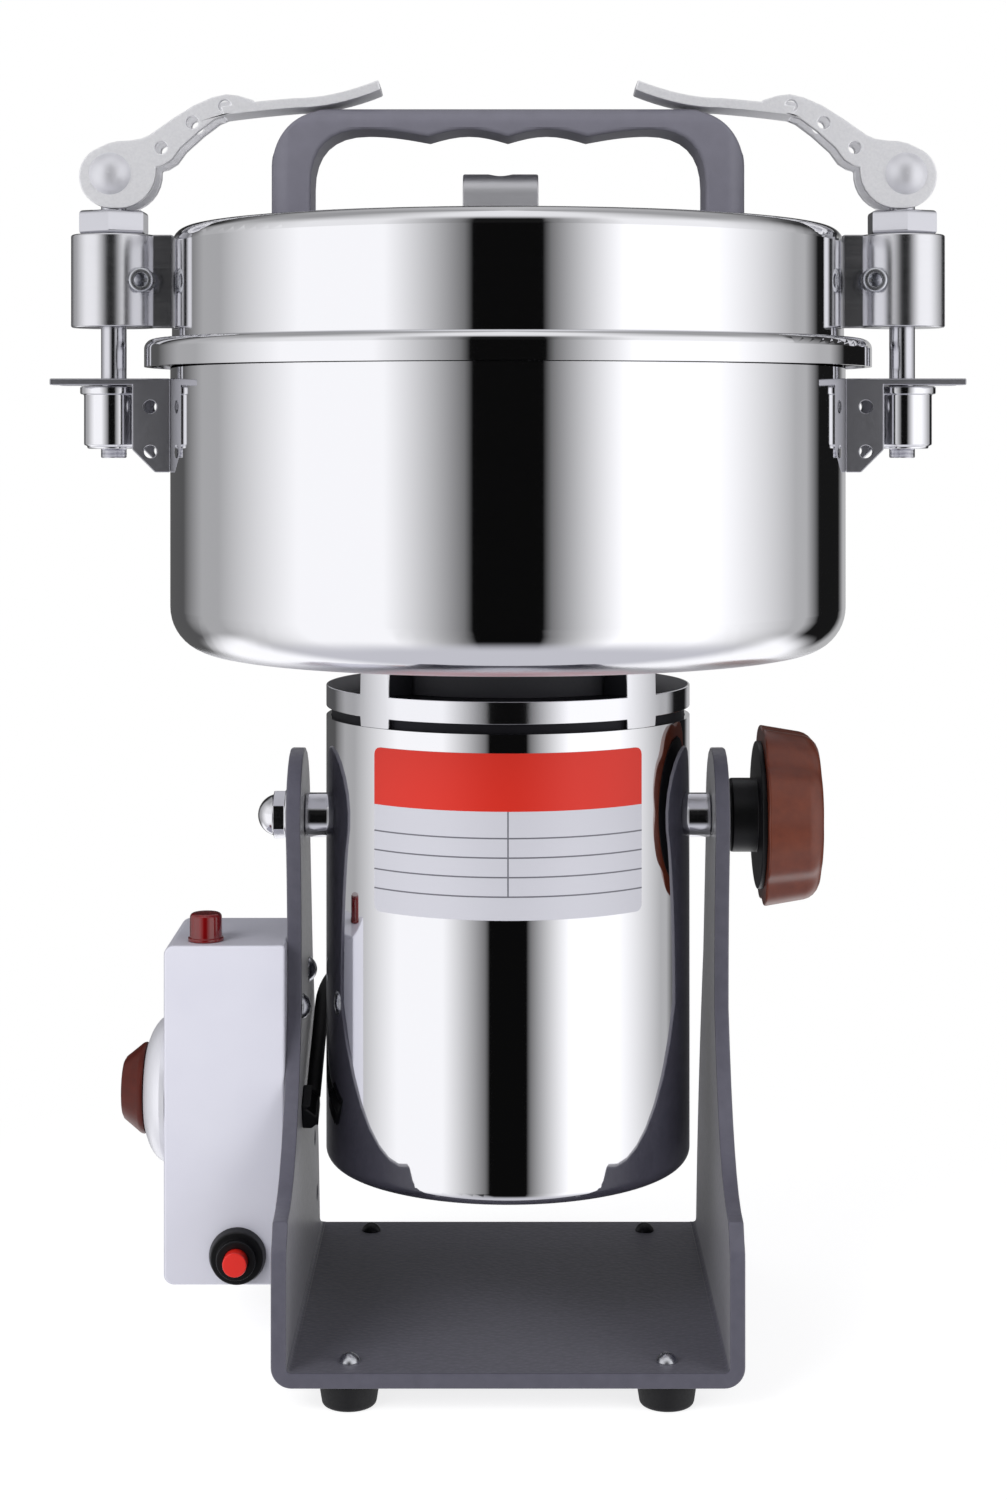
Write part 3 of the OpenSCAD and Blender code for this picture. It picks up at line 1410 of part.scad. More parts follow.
module adjusting_nut() translate([rod_x, 0, catch_z - catch_t - rest_gap]) mirror([0, 0, 1]) difference() {
    union() {
        cylinder(d = nut_collar_d, h = nut_collar_h);
        cylinder(d = nut_d, h = nut_h - nut_groove);
        cylinder(d = nut_d - 2 * nut_groove, h = nut_h);
    }
    translate([0, 0, -cut]) cylinder(d = rod_d + 2 * run_gap, h = nut_h + 2 * cut);
}

module left_adjusting_nut() color("#c3c3c9") mirror([1, 0, 0]) adjusting_nut();
module right_adjusting_nut() color("#c3c3c9") adjusting_nut();

// Cam law: the face falls by the same amount for each degree, so the rod drops evenly
cam_fall = cam_travel / lever_angle;
cam_slope = cam_fall * 180 / PI;
cam_steps = 24;
function cam_reach(a) = cam_rise - cam_fall * a;
function cam_point(a) = [
    cam_reach(a) * sin(a) - cam_slope * cos(a),
    -cam_reach(a) * cos(a) - cam_slope * sin(a)
];

// Lever outlines from the cam pin, as shares of the lever's reach: x outwards, z up
cheek_under_shares = [
    [-0.196, 0.031], [-0.229, 0.052], [-0.261, 0.096], [-0.329, 0.157], [-0.388, 0.201], [-0.448, 0.226],
    [-0.53, 0.24]
];
cheek_over_shares = [
    [-0.53, 0.271], [-0.474, 0.288], [-0.429, 0.293], [-0.377, 0.281], [-0.31, 0.252], [-0.235, 0.205],
    [-0.175, 0.163], [-0.145, 0.142], [-0.115, 0.129], [-0.071, 0.122], [-0.03, 0.12], [0.007, 0.112]
];
cheek_hole_shares = [[-0.189, 0.096], [-0.304, 0.189], [-0.424, 0.25]];
paddle_root_shares = [-0.417, 0.214];
paddle_bend_share = -0.536;
paddle_flat_share = -0.69;
paddle_dip_share = -0.833;
paddle_tip_share = 0.31;
paddle_lean_shares = [0.25, 1];
cheek_hole_d = 3.8;
paddle_t = 3;
paddle_sag = 1;
over_handle = handle_top + rest_gap - cam_pin_z;

// Round heel behind the cam's shut face
heel_back = 2.5;
heel_r = 11.8;
heel_end_angle = 95;
heel_steps = 8;
function heel_point(a) = [-heel_back - heel_r * sin(a), heel_r - cam_rise - heel_r * cos(a)];

module lever_cheek() difference() {
    polygon(concat(
        [for (i = [0:cam_steps]) cam_point(lever_angle * i / cam_steps)],
        [for (i = [len(cheek_over_shares) - 1:-1:0]) lever_reach * cheek_over_shares[i]],
        [for (i = [len(cheek_under_shares) - 1:-1:0]) lever_reach * cheek_under_shares[i]],
        [for (i = [heel_steps:-1:0]) heel_point(heel_end_angle * i / heel_steps)]
    ));
    for (shares = cheek_hole_shares) translate(lever_reach * shares) circle(d = cheek_hole_d);
    circle(d = cam_pin_d);
}

// The thin blade of the lever that lies over the handle
module lever_paddle() {
    root = lever_reach * paddle_root_shares;
    flat = [lever_reach * paddle_flat_share, over_handle];
    tip = lever_reach * [-1, paddle_tip_share];
    low = concat(
        bend(root, [lever_reach * paddle_bend_share, over_handle - paddle_sag], flat, curve_steps),
        bend(flat, [lever_reach * paddle_dip_share, over_handle], tip, curve_steps),
        [tip]
    );
    polygon(concat(low, [for (i = [len(low) - 1:-1:0]) low[i] + paddle_t * paddle_lean_shares]));
}

module lever() translate([rod_x, 0, cam_pin_z]) {
    width = fork_gap + 2 * cheek_t;
    for (y = [width / 2, -fork_gap / 2]) {
        translate([0, y, 0]) rotate([90, 0, 0]) linear_extrude(cheek_t) lever_cheek();
    }
    translate([0, width / 2, 0]) rotate([90, 0, 0]) linear_extrude(width) lever_paddle();
}

module left_lever() color("#c9c9cf") mirror([1, 0, 0]) lever();
module right_lever() color("#c9c9cf") lever();

// Cam pins with a domed head on both sides
pin_head_d = 13;
pin_head_h = 3.2;

module cam_pin() translate([rod_x, 0, cam_pin_z]) {
    half = fork_gap / 2 + cheek_t;
    translate([0, half, 0]) rotate([90, 0, 0]) cylinder(d = cam_pin_d, h = 2 * half);
    for (side = [-1, 1]) translate([0, side * half, 0]) rotate([-90 * side, 0, 0]) {
        dome_screw(cam_pin_d, cheek_t, pin_head_d, pin_head_h);
    }
}

module left_cam_pin() color("#a9a9b0") mirror([1, 0, 0]) cam_pin();
module right_cam_pin() color("#a9a9b0") cam_pin();

yoke_frame();
rubber_feet();
foot_screws();
control_box();
box_screws();
timer_body();
timer_dial();
indicator_lamp();
breaker_body();
cord_gland();
cable_elbow();
motor_cable();
motor_can();
upper_bracket();
neck_gasket();
lower_bracket();
bearings();
stator_core();
field_coils();
tie_bolts();
brush_holders();
carbon_brushes();
left_trunnion();
right_trunnion();
pivot_nut();
motor_gland();
rating_plate();
bowl();
pan_screws();
seal_housing();
shaft_seal();
catch_brackets();
lid_shell();
lid_gasket();
lid_handle();
lid_strap();
clamp_lugs();
cam_seats();
lug_screws();
motor_shaft();
armature_core();
armature_windings();
commutator();
cooling_fan();
lower_blade();
blade_spacer();
upper_blade();
blade_nut();
left_tie_rod();
right_tie_rod();
left_adjusting_nut();
right_adjusting_nut();
left_lever();
right_lever();
left_cam_pin();
right_cam_pin();
lock_knob();
lock_stud();
timer_knob();
reset_button();
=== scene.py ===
# %% [markdown]
# # Electric grain mill
# A motor in a polished steel can carries a steel grinding bowl with a clamped lid. Both hang between the arms of
# a painted stand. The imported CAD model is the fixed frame: this script gives each of its solids a finish, and
# builds a finer piece wherever the eye would miss a rounded edge, a grip or a seam.

# %% Load the frame
import json
import math

import bmesh
import bpy
from mathutils import Matrix, Vector

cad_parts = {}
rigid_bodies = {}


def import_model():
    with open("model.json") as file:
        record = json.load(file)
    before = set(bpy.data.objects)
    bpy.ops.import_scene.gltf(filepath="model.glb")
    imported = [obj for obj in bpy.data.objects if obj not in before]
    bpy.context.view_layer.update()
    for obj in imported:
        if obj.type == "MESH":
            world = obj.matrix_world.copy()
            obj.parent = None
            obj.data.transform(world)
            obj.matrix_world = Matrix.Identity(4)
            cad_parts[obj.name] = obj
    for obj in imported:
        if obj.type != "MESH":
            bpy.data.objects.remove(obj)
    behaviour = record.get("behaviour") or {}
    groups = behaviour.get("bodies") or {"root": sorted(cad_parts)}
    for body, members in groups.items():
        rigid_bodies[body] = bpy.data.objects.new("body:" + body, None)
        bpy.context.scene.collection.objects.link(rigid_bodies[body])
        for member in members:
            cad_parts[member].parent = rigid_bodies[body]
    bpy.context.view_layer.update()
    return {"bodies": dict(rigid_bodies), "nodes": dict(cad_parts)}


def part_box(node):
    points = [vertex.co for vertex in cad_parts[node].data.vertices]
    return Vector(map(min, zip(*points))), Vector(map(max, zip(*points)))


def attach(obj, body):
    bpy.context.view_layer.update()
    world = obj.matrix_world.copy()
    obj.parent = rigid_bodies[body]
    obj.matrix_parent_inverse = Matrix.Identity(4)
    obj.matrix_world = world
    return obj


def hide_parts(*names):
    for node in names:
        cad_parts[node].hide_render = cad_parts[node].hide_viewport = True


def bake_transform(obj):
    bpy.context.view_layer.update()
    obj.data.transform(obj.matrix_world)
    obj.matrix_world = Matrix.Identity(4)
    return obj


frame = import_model()
nodes = frame["nodes"]
MM = 0.001

# %% [markdown]
# ## Camera
# The photograph was taken level, from as high as the top of the motor, so its uprights stay parallel. A level
# camera with its lens shifted down frames the whole mill in the same way.

# %% Camera
lens = bpy.data.cameras.new("camera")
lens.lens = 63.6
lens.sensor_width = 36
lens.shift_x = -0.003
lens.shift_y = -0.2207
camera = bpy.data.objects.new("camera", lens)
camera.location = (0, -0.8305, 0.2855)
camera.rotation_euler = (math.radians(90), 0, 0)
bpy.context.collection.objects.link(camera)
bpy.context.scene.camera = camera

# %% [markdown]
# ## Colours and nodes
# Colours are written as sRGB hex values, as a paint chart gives them, and one function makes them linear.
# A second function adds a shader node with its settings, values and links, so that a finish reads as a short list.
# A third gives the point that is being shaded, in the piece's own coordinates, for patterns to be laid over.


# %% Colour and node helpers
def linear(code):
    """An sRGB hex colour as linear red, green, blue and alpha."""
    shares = [int(code[i : i + 2], 16) / 255 for i in (1, 3, 5)]
    return [c / 12.92 if c <= 0.04045 else ((c + 0.055) / 1.055) ** 2.4 for c in shares] + [1]


def add(tree, kind, sockets=None, **settings):
    """A new node. Each socket takes a value or another node's output."""
    node = tree.nodes.new("ShaderNode" + kind)
    for name, value in settings.items():
        setattr(node, name, value)
    for name, value in (sockets or {}).items():
        if isinstance(value, bpy.types.NodeSocket):
            tree.links.new(value, node.inputs[name])
        else:
            node.inputs[name].default_value = value
    return node


def own_point(tree):
    """The shaded point in the piece's own coordinates, in metres."""
    return add(tree, "TexCoord").outputs["Object"]


# %% [markdown]
# ## Studio
# Polished steel shows only what stands round it. The photograph's black stripe is a narrow dark card behind the
# camera, the bright flanks are two big soft boxes, and the dark rims are the unlit back of the room. The world's
# shader gives glossy rays that room by their own direction, in three belts: level with the mill, above it, and the
# ceiling. Where each thing stands and how bright it is come from the reflections in the photograph. The table below
# is white and brightest behind the mill. Other rays meet an even soft light, and the camera sees white.

# %% The room's belts
level = [
    ("dark back", -180, -141, 0.1), ("left wall", -124, -112, 0.47), ("left soft box", -73, -41, 1.19),
    ("grey gap", -13.5, -13.5, 0.2), ("black card", -11.5, 11.5, 0.004), ("grey gap", 13.5, 13.5, 0.2),
    ("right soft box", 38, 73, 1.31), ("right wall", 111, 118, 0.53), ("dark corner", 128, 149, 0.01),
    ("pale panel", 158, 180, 0.5),
]
above = [
    ("dark back", -180, -139, 0.03), ("left wall", -124, -114, 0.52), ("left soft box", -74, -43, 1.0),
    ("grey gap", -15, -15, 0.22), ("black card", -11.5, 11.5, 0.01), ("grey gap", 15, 15, 0.24),
    ("right soft box", 40, 75, 1.09), ("right wall", 110, 110, 0.6), ("dark back", 134, 180, 0.04),
]
ceiling = [
    ("rear lamp", -180, -180, 0.6), ("dim left", -130, -97, 0.39), ("bright middle", -30, 38, 0.97),
    ("dim right", 97, 130, 0.42), ("rear lamp", 180, 180, 0.6),
]
print("things in the three belts:", len(level), len(above), len(ceiling))

# %% [markdown]
# A belt is a colour ramp over the heading of a ray. A thing in it reaches from one heading to another, in degrees
# round from the camera's side, and has one brightness. Between two things the light runs over evenly, as it does at
# the soft edge of a lamp. Two belts blend into each other between two heights, which are written as angles over the
# horizon. The brighter part of the table is where a ray runs both back and down.

# %% World
level_to_above = (5, 11)
above_to_ceiling = (28, 55)
table_to_level = (-58, -30)
level_to_back_table = (-20, -34)
run_back = (0.12, 0.45)
back_table_colour = (1.25, 1.25, 1.27, 1)


def room_ramp(tree, place, things):
    """A belt of the room, from things of (name, first heading, last heading, brightness)."""
    stops = [(angle, value) for _, start, end, value in things for angle in sorted({start, end})]
    ramp = add(tree, "ValToRGB", {0: place})
    while len(ramp.color_ramp.elements) < len(stops):
        ramp.color_ramp.elements.new(0.5)
    for stop, (angle, value) in zip(ramp.color_ramp.elements, stops):
        stop.position = angle / 360 + 0.5
        stop.color = (value, value, value * 1.01, 1)
    return ramp.outputs[0]


def between(tree, value, low, high):
    """0 at low and 1 at high, smooth between them."""
    span = add(
        tree, "MapRange", {"Value": value, "From Min": low, "From Max": high}, interpolation_type="SMOOTHSTEP"
    )
    return span.outputs[0]


def between_angles(tree, height, angles):
    """0 at the first angle over the horizon and 1 at the second, for the height of a ray of length 1."""
    low, high = (math.sin(math.radians(angle)) for angle in angles)
    return between(tree, height, low, high)


world = bpy.data.worlds.new("studio")
bpy.context.scene.world = world
world.use_nodes = True
tree = world.node_tree
tree.nodes.clear()
ray = add(tree, "LightPath")
heading = add(tree, "TexCoord")
parts = add(tree, "SeparateXYZ", {0: heading.outputs["Generated"]})
front = add(tree, "Math", {0: parts.outputs["Y"], 1: -1.0}, operation="MULTIPLY")
turn = add(tree, "Math", {0: parts.outputs["X"], 1: front.outputs[0]}, operation="ARCTAN2")
place = add(tree, "MapRange", {"Value": turn.outputs[0], "From Min": -math.pi, "From Max": math.pi})
level_belt = room_ramp(tree, place.outputs[0], level)
above_belt = room_ramp(tree, place.outputs[0], above)
ceiling_belt = room_ramp(tree, place.outputs[0], ceiling)
over_level = between_angles(tree, parts.outputs["Z"], level_to_above)
over_above = between_angles(tree, parts.outputs["Z"], above_to_ceiling)
over_table = between_angles(tree, parts.outputs["Z"], table_to_level)
upper = add(tree, "Mix", {0: over_above, 6: above_belt, 7: ceiling_belt}, data_type="RGBA")
belts = add(tree, "Mix", {0: over_level, 6: level_belt, 7: upper.outputs[2]}, data_type="RGBA")
table = add(tree, "Mix", {0: over_table, 6: linear("#d6d6dd"), 7: belts.outputs[2]}, data_type="RGBA")
back = between(tree, parts.outputs["Y"], *run_back)
down = between_angles(tree, parts.outputs["Z"], level_to_back_table)
back_table = add(tree, "Math", {0: back, 1: down}, operation="MULTIPLY")
whole = add(tree, "Mix", {0: back_table.outputs[0], 6: table.outputs[2], 7: back_table_colour}, data_type="RGBA")
soft = add(tree, "Background", {"Color": linear("#f4f4f8"), "Strength": 0.52})
mirrored = add(tree, "Background", {"Color": whole.outputs[2], "Strength": 1.0})
white = add(tree, "Background", {"Color": (1, 1, 1, 1), "Strength": 1.0})
lighting = add(tree, "MixShader", {0: ray.outputs["Is Glossy Ray"], 1: soft.outputs[0], 2: mirrored.outputs[0]})
direct = add(
    tree, "Math", {0: ray.outputs["Is Camera Ray"], 1: ray.outputs["Is Transmission Ray"]}, operation="MAXIMUM"
)
seen = add(tree, "MixShader", {0: direct.outputs[0], 1: lighting.outputs[0], 2: white.outputs[0]})
add(tree, "OutputWorld", {"Surface": seen.outputs[0]})
print("nodes of the world:", len(tree.nodes))

# %% [markdown]
# The table is a white sheet. Part of its light is its own, so that only a faint shadow is left under the feet, and
# away from the mill it fades to the background's white, so it has no horizon. Glossy rays see the room instead.

# %% Floor and lamps
shadow_r = 0.1
white_r = 0.32
bm = bmesh.new()
bmesh.ops.create_grid(bm, x_segments=1, y_segments=1, size=4)
mesh = bpy.data.meshes.new("floor")
bm.to_mesh(mesh)
bm.free()
floor = bpy.data.objects.new("floor", mesh)
bpy.context.collection.objects.link(floor)
floor.visible_glossy = False
paper = bpy.data.materials.new("white_paper")
paper.use_nodes = True
tree = paper.node_tree
tree.nodes.clear()
reach = add(tree, "VectorMath", {0: own_point(tree)}, operation="LENGTH")
fade = between(tree, reach.outputs["Value"], shadow_r, white_r)
matt = add(tree, "BsdfDiffuse", {"Color": (0.4, 0.4, 0.4, 1)})
lit = add(tree, "Emission", {"Color": (1, 1, 1, 1), "Strength": 0.78})
near = add(tree, "AddShader", {0: matt.outputs[0], 1: lit.outputs[0]})
glow = add(tree, "Emission", {"Color": (1, 1, 1, 1), "Strength": 1.0})
mixed = add(tree, "MixShader", {0: fade, 1: near.outputs[0], 2: glow.outputs[0]})
add(tree, "OutputMaterial", {"Surface": mixed.outputs[0]})
mesh.materials.append(paper)


def soft_box(name, place, target, size, power):
    """A square area lamp aimed at a point."""
    light = bpy.data.lights.new(name, "AREA")
    light.size = size
    light.energy = power
    lamp = bpy.data.objects.new(name, light)
    lamp.location = place
    lamp.rotation_euler = (Vector(target) - Vector(place)).to_track_quat("-Z", "Y").to_euler()
    lamp.visible_glossy = False
    bpy.context.collection.objects.link(lamp)


soft_box("key", (-1.0, -1.2, 1.0), (0, 0, 0.2), 1.0, 18)
soft_box("fill", (1.25, -1.05, 0.7), (0, 0, 0.2), 1.0, 9)

# %% [markdown]
# ## Finishes
# Each finish starts from what the real material is and how its surface was made.


# %% A finish and its surface pattern
def finish(name, colour, roughness, metallic=0.0, **sockets):
    """A Principled material, its node tree and its shader."""
    material = bpy.data.materials.new(name)
    material.use_nodes = True
    shader = material.node_tree.nodes["Principled BSDF"]
    shader.inputs["Base Color"].default_value = linear(colour)
    shader.inputs["Roughness"].default_value = roughness
    shader.inputs["Metallic"].default_value = metallic
    for socket, value in sockets.items():
        shader.inputs[socket.replace("_", " ")].default_value = value
    return material, material.node_tree, shader


def grain(tree, size, stretch=(1, 1, 1), detail=2.0):
    """Noise on the piece's own coordinates, with grains of the given size in metres."""
    mapping = add(tree, "Mapping", {"Vector": own_point(tree), "Scale": [s / size for s in stretch]})
    noise = add(tree, "TexNoise", {"Vector": mapping.outputs[0], "Scale": 1.0, "Detail": detail})
    return noise.outputs["Fac"]


def own_axes(tree):
    """The shaded point's X, Y and Z in metres."""
    return add(tree, "SeparateXYZ", {0: own_point(tree)}).outputs


def relief(tree, shader, height, strength, depth):
    """A bump of the given depth in metres from a height between 0 and 1."""
    bump = add(tree, "Bump", {"Height": height, "Strength": strength, "Distance": depth})
    tree.links.new(bump.outputs[0], shader.inputs["Normal"])


def vary(tree, shader, socket, factor, low, high):
    """A socket that runs from low to high with the factor, for numbers or hex colours."""
    if isinstance(low, str):
        mixed = add(tree, "Mix", {0: factor, 6: linear(low), 7: linear(high)}, data_type="RGBA")
        tree.links.new(mixed.outputs[2], shader.inputs[socket])
    else:
        spread = add(tree, "MapRange", {"Value": factor, "To Min": low, "To Max": high})
        tree.links.new(spread.outputs[0], shader.inputs[socket])


# %% [markdown]
# Polished stainless steel of the bowl, lid and can: deep drawn, then polished on a lathe with a fine wheel. The
# lines it leaves are too fine for a picture, so they are drawn 0.8 mm apart and very shallow: they only soften a
# reflection's edge. The wheel doesn't reach the underside of the can and the bowl, which keeps the sheet's
# satin mill finish. The lid is polished all over.

# %% Polished steel
satin_roughness = 0.6


def polished(name, underside=0.0, blend=1 * MM):
    """Lathe-polished steel that turns satin down to the height of its underside, over a blend in metres."""
    material, tree, shader = finish(name, "#e4e4e7", 0.04, 1.0)
    lines = grain(tree, 0.0008, (0.02, 0.02, 1))
    z = own_axes(tree)["Z"]
    satin = add(
        tree, "MapRange", {"Value": z, "From Min": underside + blend, "From Max": underside, "To Max": satin_roughness}
    )
    shine = add(tree, "MapRange", {"Value": lines, "To Min": 0.02, "To Max": 0.055})
    total = add(tree, "Math", {0: satin.outputs[0], 1: shine.outputs[0]}, operation="MAXIMUM")
    tree.links.new(total.outputs[0], shader.inputs["Roughness"])
    relief(tree, shader, lines, 0.05, 0.00001)
    return material


can_steel = polished("polished_can_steel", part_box("motor_can")[0].z, 2 * MM)
bowl_steel = polished("polished_bowl_steel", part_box("bowl")[0].z, 4.5 * MM)
lid_steel = polished("polished_lid_steel")

# %% [markdown]
# Turned, brushed and blasted steel of the clamps: a lathe tool leaves fine rings, and the lugs are a little duller
# than the nuts. A brushed sheet has short scratches, the catches are only pickled after welding, and the
# investment-cast levers are blasted with glass beads, which makes them pale and soft in their shine. Screws are zinc
# plated; a near-black steel for the rear foot screws is painted reflection and painted shade.

# %% Steel of the clamps and screws
turned_steel, tree, shader = finish("turned_steel", "#e2e2e6", 0.1, 1.0)
rings = grain(tree, 0.0006, (0.03, 0.03, 1))
vary(tree, shader, "Roughness", rings, 0.07, 0.14)
relief(tree, shader, rings, 0.1, 0.00001)

lug_steel, tree, shader = finish("satin_turned_steel", "#d8d8dc", 0.22, 1.0)
vary(tree, shader, "Roughness", grain(tree, 0.0006, (0.03, 0.03, 1)), 0.19, 0.27)

seat_steel, tree, shader = finish("hardened_steel", "#c2c2c8", 0.16, 1.0)
vary(tree, shader, "Roughness", grain(tree, 0.0006), 0.12, 0.22)

catch_steel, tree, shader = finish("pickled_steel", "#b2b2b8", 0.34, 1.0)
vary(tree, shader, "Roughness", grain(tree, 0.0012), 0.3, 0.4)

brushed_steel, tree, shader = finish("brushed_steel", "#dcdce0", 0.5, 1.0)
scratches = grain(tree, 0.0004, (0.04, 1, 1), 4.0)
vary(tree, shader, "Roughness", scratches, 0.42, 0.56)
relief(tree, shader, scratches, 0.05, 0.00002)

zinc_plate, tree, shader = finish("zinc_plated_steel", "#c4c5ca", 0.3, 1.0)
bloom = grain(tree, 0.0015)
vary(tree, shader, "Roughness", bloom, 0.2, 0.36)
vary(tree, shader, "Base Color", bloom, "#b8bac0", "#d2d3d8")

# Near-black steel for the rear foot screws: painted reflection and painted shade, not a different plating.
black_oxide, tree, shader = finish("painted_shade_screw_steel", "#1c1c20", 0.35, 0.6)
vary(tree, shader, "Roughness", grain(tree, 0.0008), 0.3, 0.45)

blasted_steel, tree, shader = finish("bead_blasted_steel", "#f2f2f4", 0.5, 0.65)
beads = grain(tree, 0.0007, detail=4.0)
vary(tree, shader, "Base Color", beads, "#e6e6ea", "#f8f8fa")
vary(tree, shader, "Roughness", beads, 0.42, 0.56)
relief(tree, shader, beads, 0.35, 0.00008)

pin_steel, tree, shader = finish("blasted_pin_steel", "#d4d4d9", 0.42, 0.65)
vary(tree, shader, "Roughness", grain(tree, 0.0007), 0.38, 0.48)

# %% [markdown]
# A tie rod is drawn bar, bright and smooth where it passes the lug, with a rolled thread of 1.25 mm pitch from the
# catch down.

# %% Tie rod
catch_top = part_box("catch_brackets")[1].z
thread_pitch = 1.25 * MM
thread_steel, tree, shader = finish("drawn_steel", "#c9c9cf", 0.16, 1.0)
z = own_axes(tree)["Z"]
turns = add(tree, "Math", {0: z, 1: thread_pitch / 2}, operation="DIVIDE")
ridge = add(tree, "Math", {0: turns.outputs[0], 1: 1.0}, operation="PINGPONG")
threaded = add(tree, "Math", {0: z, 1: catch_top}, operation="LESS_THAN")
shape = add(tree, "Math", {0: ridge.outputs[0], 1: threaded.outputs[0]}, operation="MULTIPLY")
relief(tree, shader, shape.outputs[0], 0.8, 0.0004)
vary(tree, shader, "Roughness", grain(tree, 0.0006, (1, 1, 0.05)), 0.1, 0.22)

# %% [markdown]
# Hammertone paint of the stand: silicone in the paint draws it into small dimples about 1.6 mm wide, 620 in a metre.
# Seen nearly edge on, every dimple shows its bright side, which a sheen stands for. The control box and the handle
# have powder coats: fine orange peel on the box, a dull grain on the handle.

# %% Paints
dimples_per_metre = 620.0
hammertone, tree, shader = finish(
    "hammertone_paint", "#504f5a", 0.42, 0.0, Coat_Weight=0.2, Coat_Roughness=0.25, Sheen_Weight=0.38,
    Sheen_Roughness=0.3,
)
cells = add(
    tree, "TexVoronoi", {"Vector": own_point(tree), "Scale": dimples_per_metre, "Smoothness": 0.8},
    feature="SMOOTH_F1",
)
relief(tree, shader, cells.outputs["Distance"], 0.25, 0.0003)
vary(tree, shader, "Base Color", grain(tree, 0.004), "#494853", "#565561")
vary(tree, shader, "Roughness", cells.outputs["Distance"], 0.36, 0.5)

box_enamel, tree, shader = finish("box_powder_coat", "#cdcdd8", 0.34, 0.0, Coat_Weight=0.3, Coat_Roughness=0.2)
peel = grain(tree, 0.0012)
relief(tree, shader, peel, 0.12, 0.0001)
vary(tree, shader, "Base Color", grain(tree, 0.02), "#c9c9d5", "#d2d2dc")
vary(tree, shader, "Roughness", peel, 0.3, 0.4)

handle_coat, tree, shader = finish("handle_powder_coat", "#75747e", 0.46, 0.0)
dust = grain(tree, 0.0006, detail=3.0)
relief(tree, shader, dust, 0.3, 0.00008)
vary(tree, shader, "Base Color", grain(tree, 0.006), "#66656f", "#71707b")
vary(tree, shader, "Roughness", dust, 0.4, 0.54)

# %% [markdown]
# Plastics and rubber. The two knobs are brown phenolic, pressed from powder, so a faint mottle runs through the
# colour and the skin is glossy. The timer's is given a darker brown as painted shade. The lamp is clear red acrylic,
# the gaskets are silicone and black rubber, the neck's one lighter grey as painted light, the feet are black rubber.

# %% Plastics and rubber
brown_phenolic, tree, shader = finish("brown_phenolic", "#602817", 0.32)
mottle = grain(tree, 0.003, detail=5.0)
vary(tree, shader, "Base Color", mottle, "#512113", "#6c311c")
relief(tree, shader, grain(tree, 0.001), 0.15, 0.00008)
vary(tree, shader, "Roughness", mottle, 0.26, 0.38)

# Darker brown of the timer knob: painted shade on the same phenolic as the lock knob.
dark_phenolic, tree, shader = finish("dark_phenolic", "#44140b", 0.34, Specular_IOR_Level=0.25)
mottle = grain(tree, 0.003, detail=5.0)
vary(tree, shader, "Base Color", mottle, "#3e1108", "#54190d")
vary(tree, shader, "Roughness", mottle, 0.28, 0.4)

black_nylon, tree, shader = finish("black_nylon", "#0e0e10", 0.38, Specular_IOR_Level=0.35)
skin = grain(tree, 0.0005)
relief(tree, shader, skin, 0.3, 0.00005)
vary(tree, shader, "Roughness", skin, 0.32, 0.46)

black_rubber, tree, shader = finish("black_rubber", "#101012", 0.6, Specular_IOR_Level=0.35)
pores = grain(tree, 0.0007, detail=4.0)
relief(tree, shader, pores, 0.5, 0.0001)
vary(tree, shader, "Roughness", pores, 0.5, 0.75)

# Lighter grey for the black neck gasket: painted light in the neck.
grey_rubber, tree, shader = finish("grey_rubber", "#2e2e32", 0.6, Specular_IOR_Level=0.35)
vary(tree, shader, "Roughness", grain(tree, 0.0007, detail=4.0), 0.5, 0.75)

white_silicone, tree, shader = finish("white_silicone", "#e4e2dc", 0.5, Subsurface_Weight=0.1)
milk = grain(tree, 0.002)
vary(tree, shader, "Roughness", milk, 0.42, 0.58)

lamp_red, tree, shader = finish("red_acrylic", "#780a0e", 0.05, Transmission_Weight=0.2, IOR=1.49, Coat_Weight=0.6)
# Vertical dark and bright streaks on the cap: painted highlight and painted shade of flutes the cap doesn't have.
flutes = grain(tree, 0.002, (1, 1, 0.05))
vary(tree, shader, "Base Color", flutes, "#4a0405", "#8a1014")

button_red, tree, shader = finish("red_abs", "#e0251c", 0.3)
relief(tree, shader, grain(tree, 0.0006), 0.15, 0.00004)
vary(tree, shader, "Roughness", grain(tree, 0.002), 0.25, 0.36)

cream_plastic, tree, shader = finish("cream_abs", "#e6e2d8", 0.4)
vary(tree, shader, "Roughness", grain(tree, 0.002), 0.34, 0.46)

dial_plastic, tree, shader = finish("silver_dial", "#dcdce2", 0.3, 0.35)
vary(tree, shader, "Roughness", grain(tree, 0.0007), 0.24, 0.4)

# %% [markdown]
# Inside the motor: stamped laminations, enamelled copper wire, a copper commutator on black moulding, carbon
# brushes, and cast alloy brackets with the dull skin that the mould leaves. At a scale of 1 a wave texture's wave is
# 314 mm long along an axis and 363 mm on the diagonal. So a scale of 320 gives sheets 1 mm thick, and one of 260
# gives wires 1.4 mm thick.

# %% Motor materials
sheet_scale = 320.0
wire_scale = 260.0
laminations, tree, shader = finish("laminated_steel", "#5b6068", 0.45, 1.0)
sheets = add(tree, "TexWave", {"Vector": own_point(tree), "Scale": sheet_scale}, bands_direction="Z")
relief(tree, shader, sheets.outputs["Fac"], 0.5, 0.0002)
vary(tree, shader, "Base Color", sheets.outputs["Fac"], "#454950", "#6d727b")

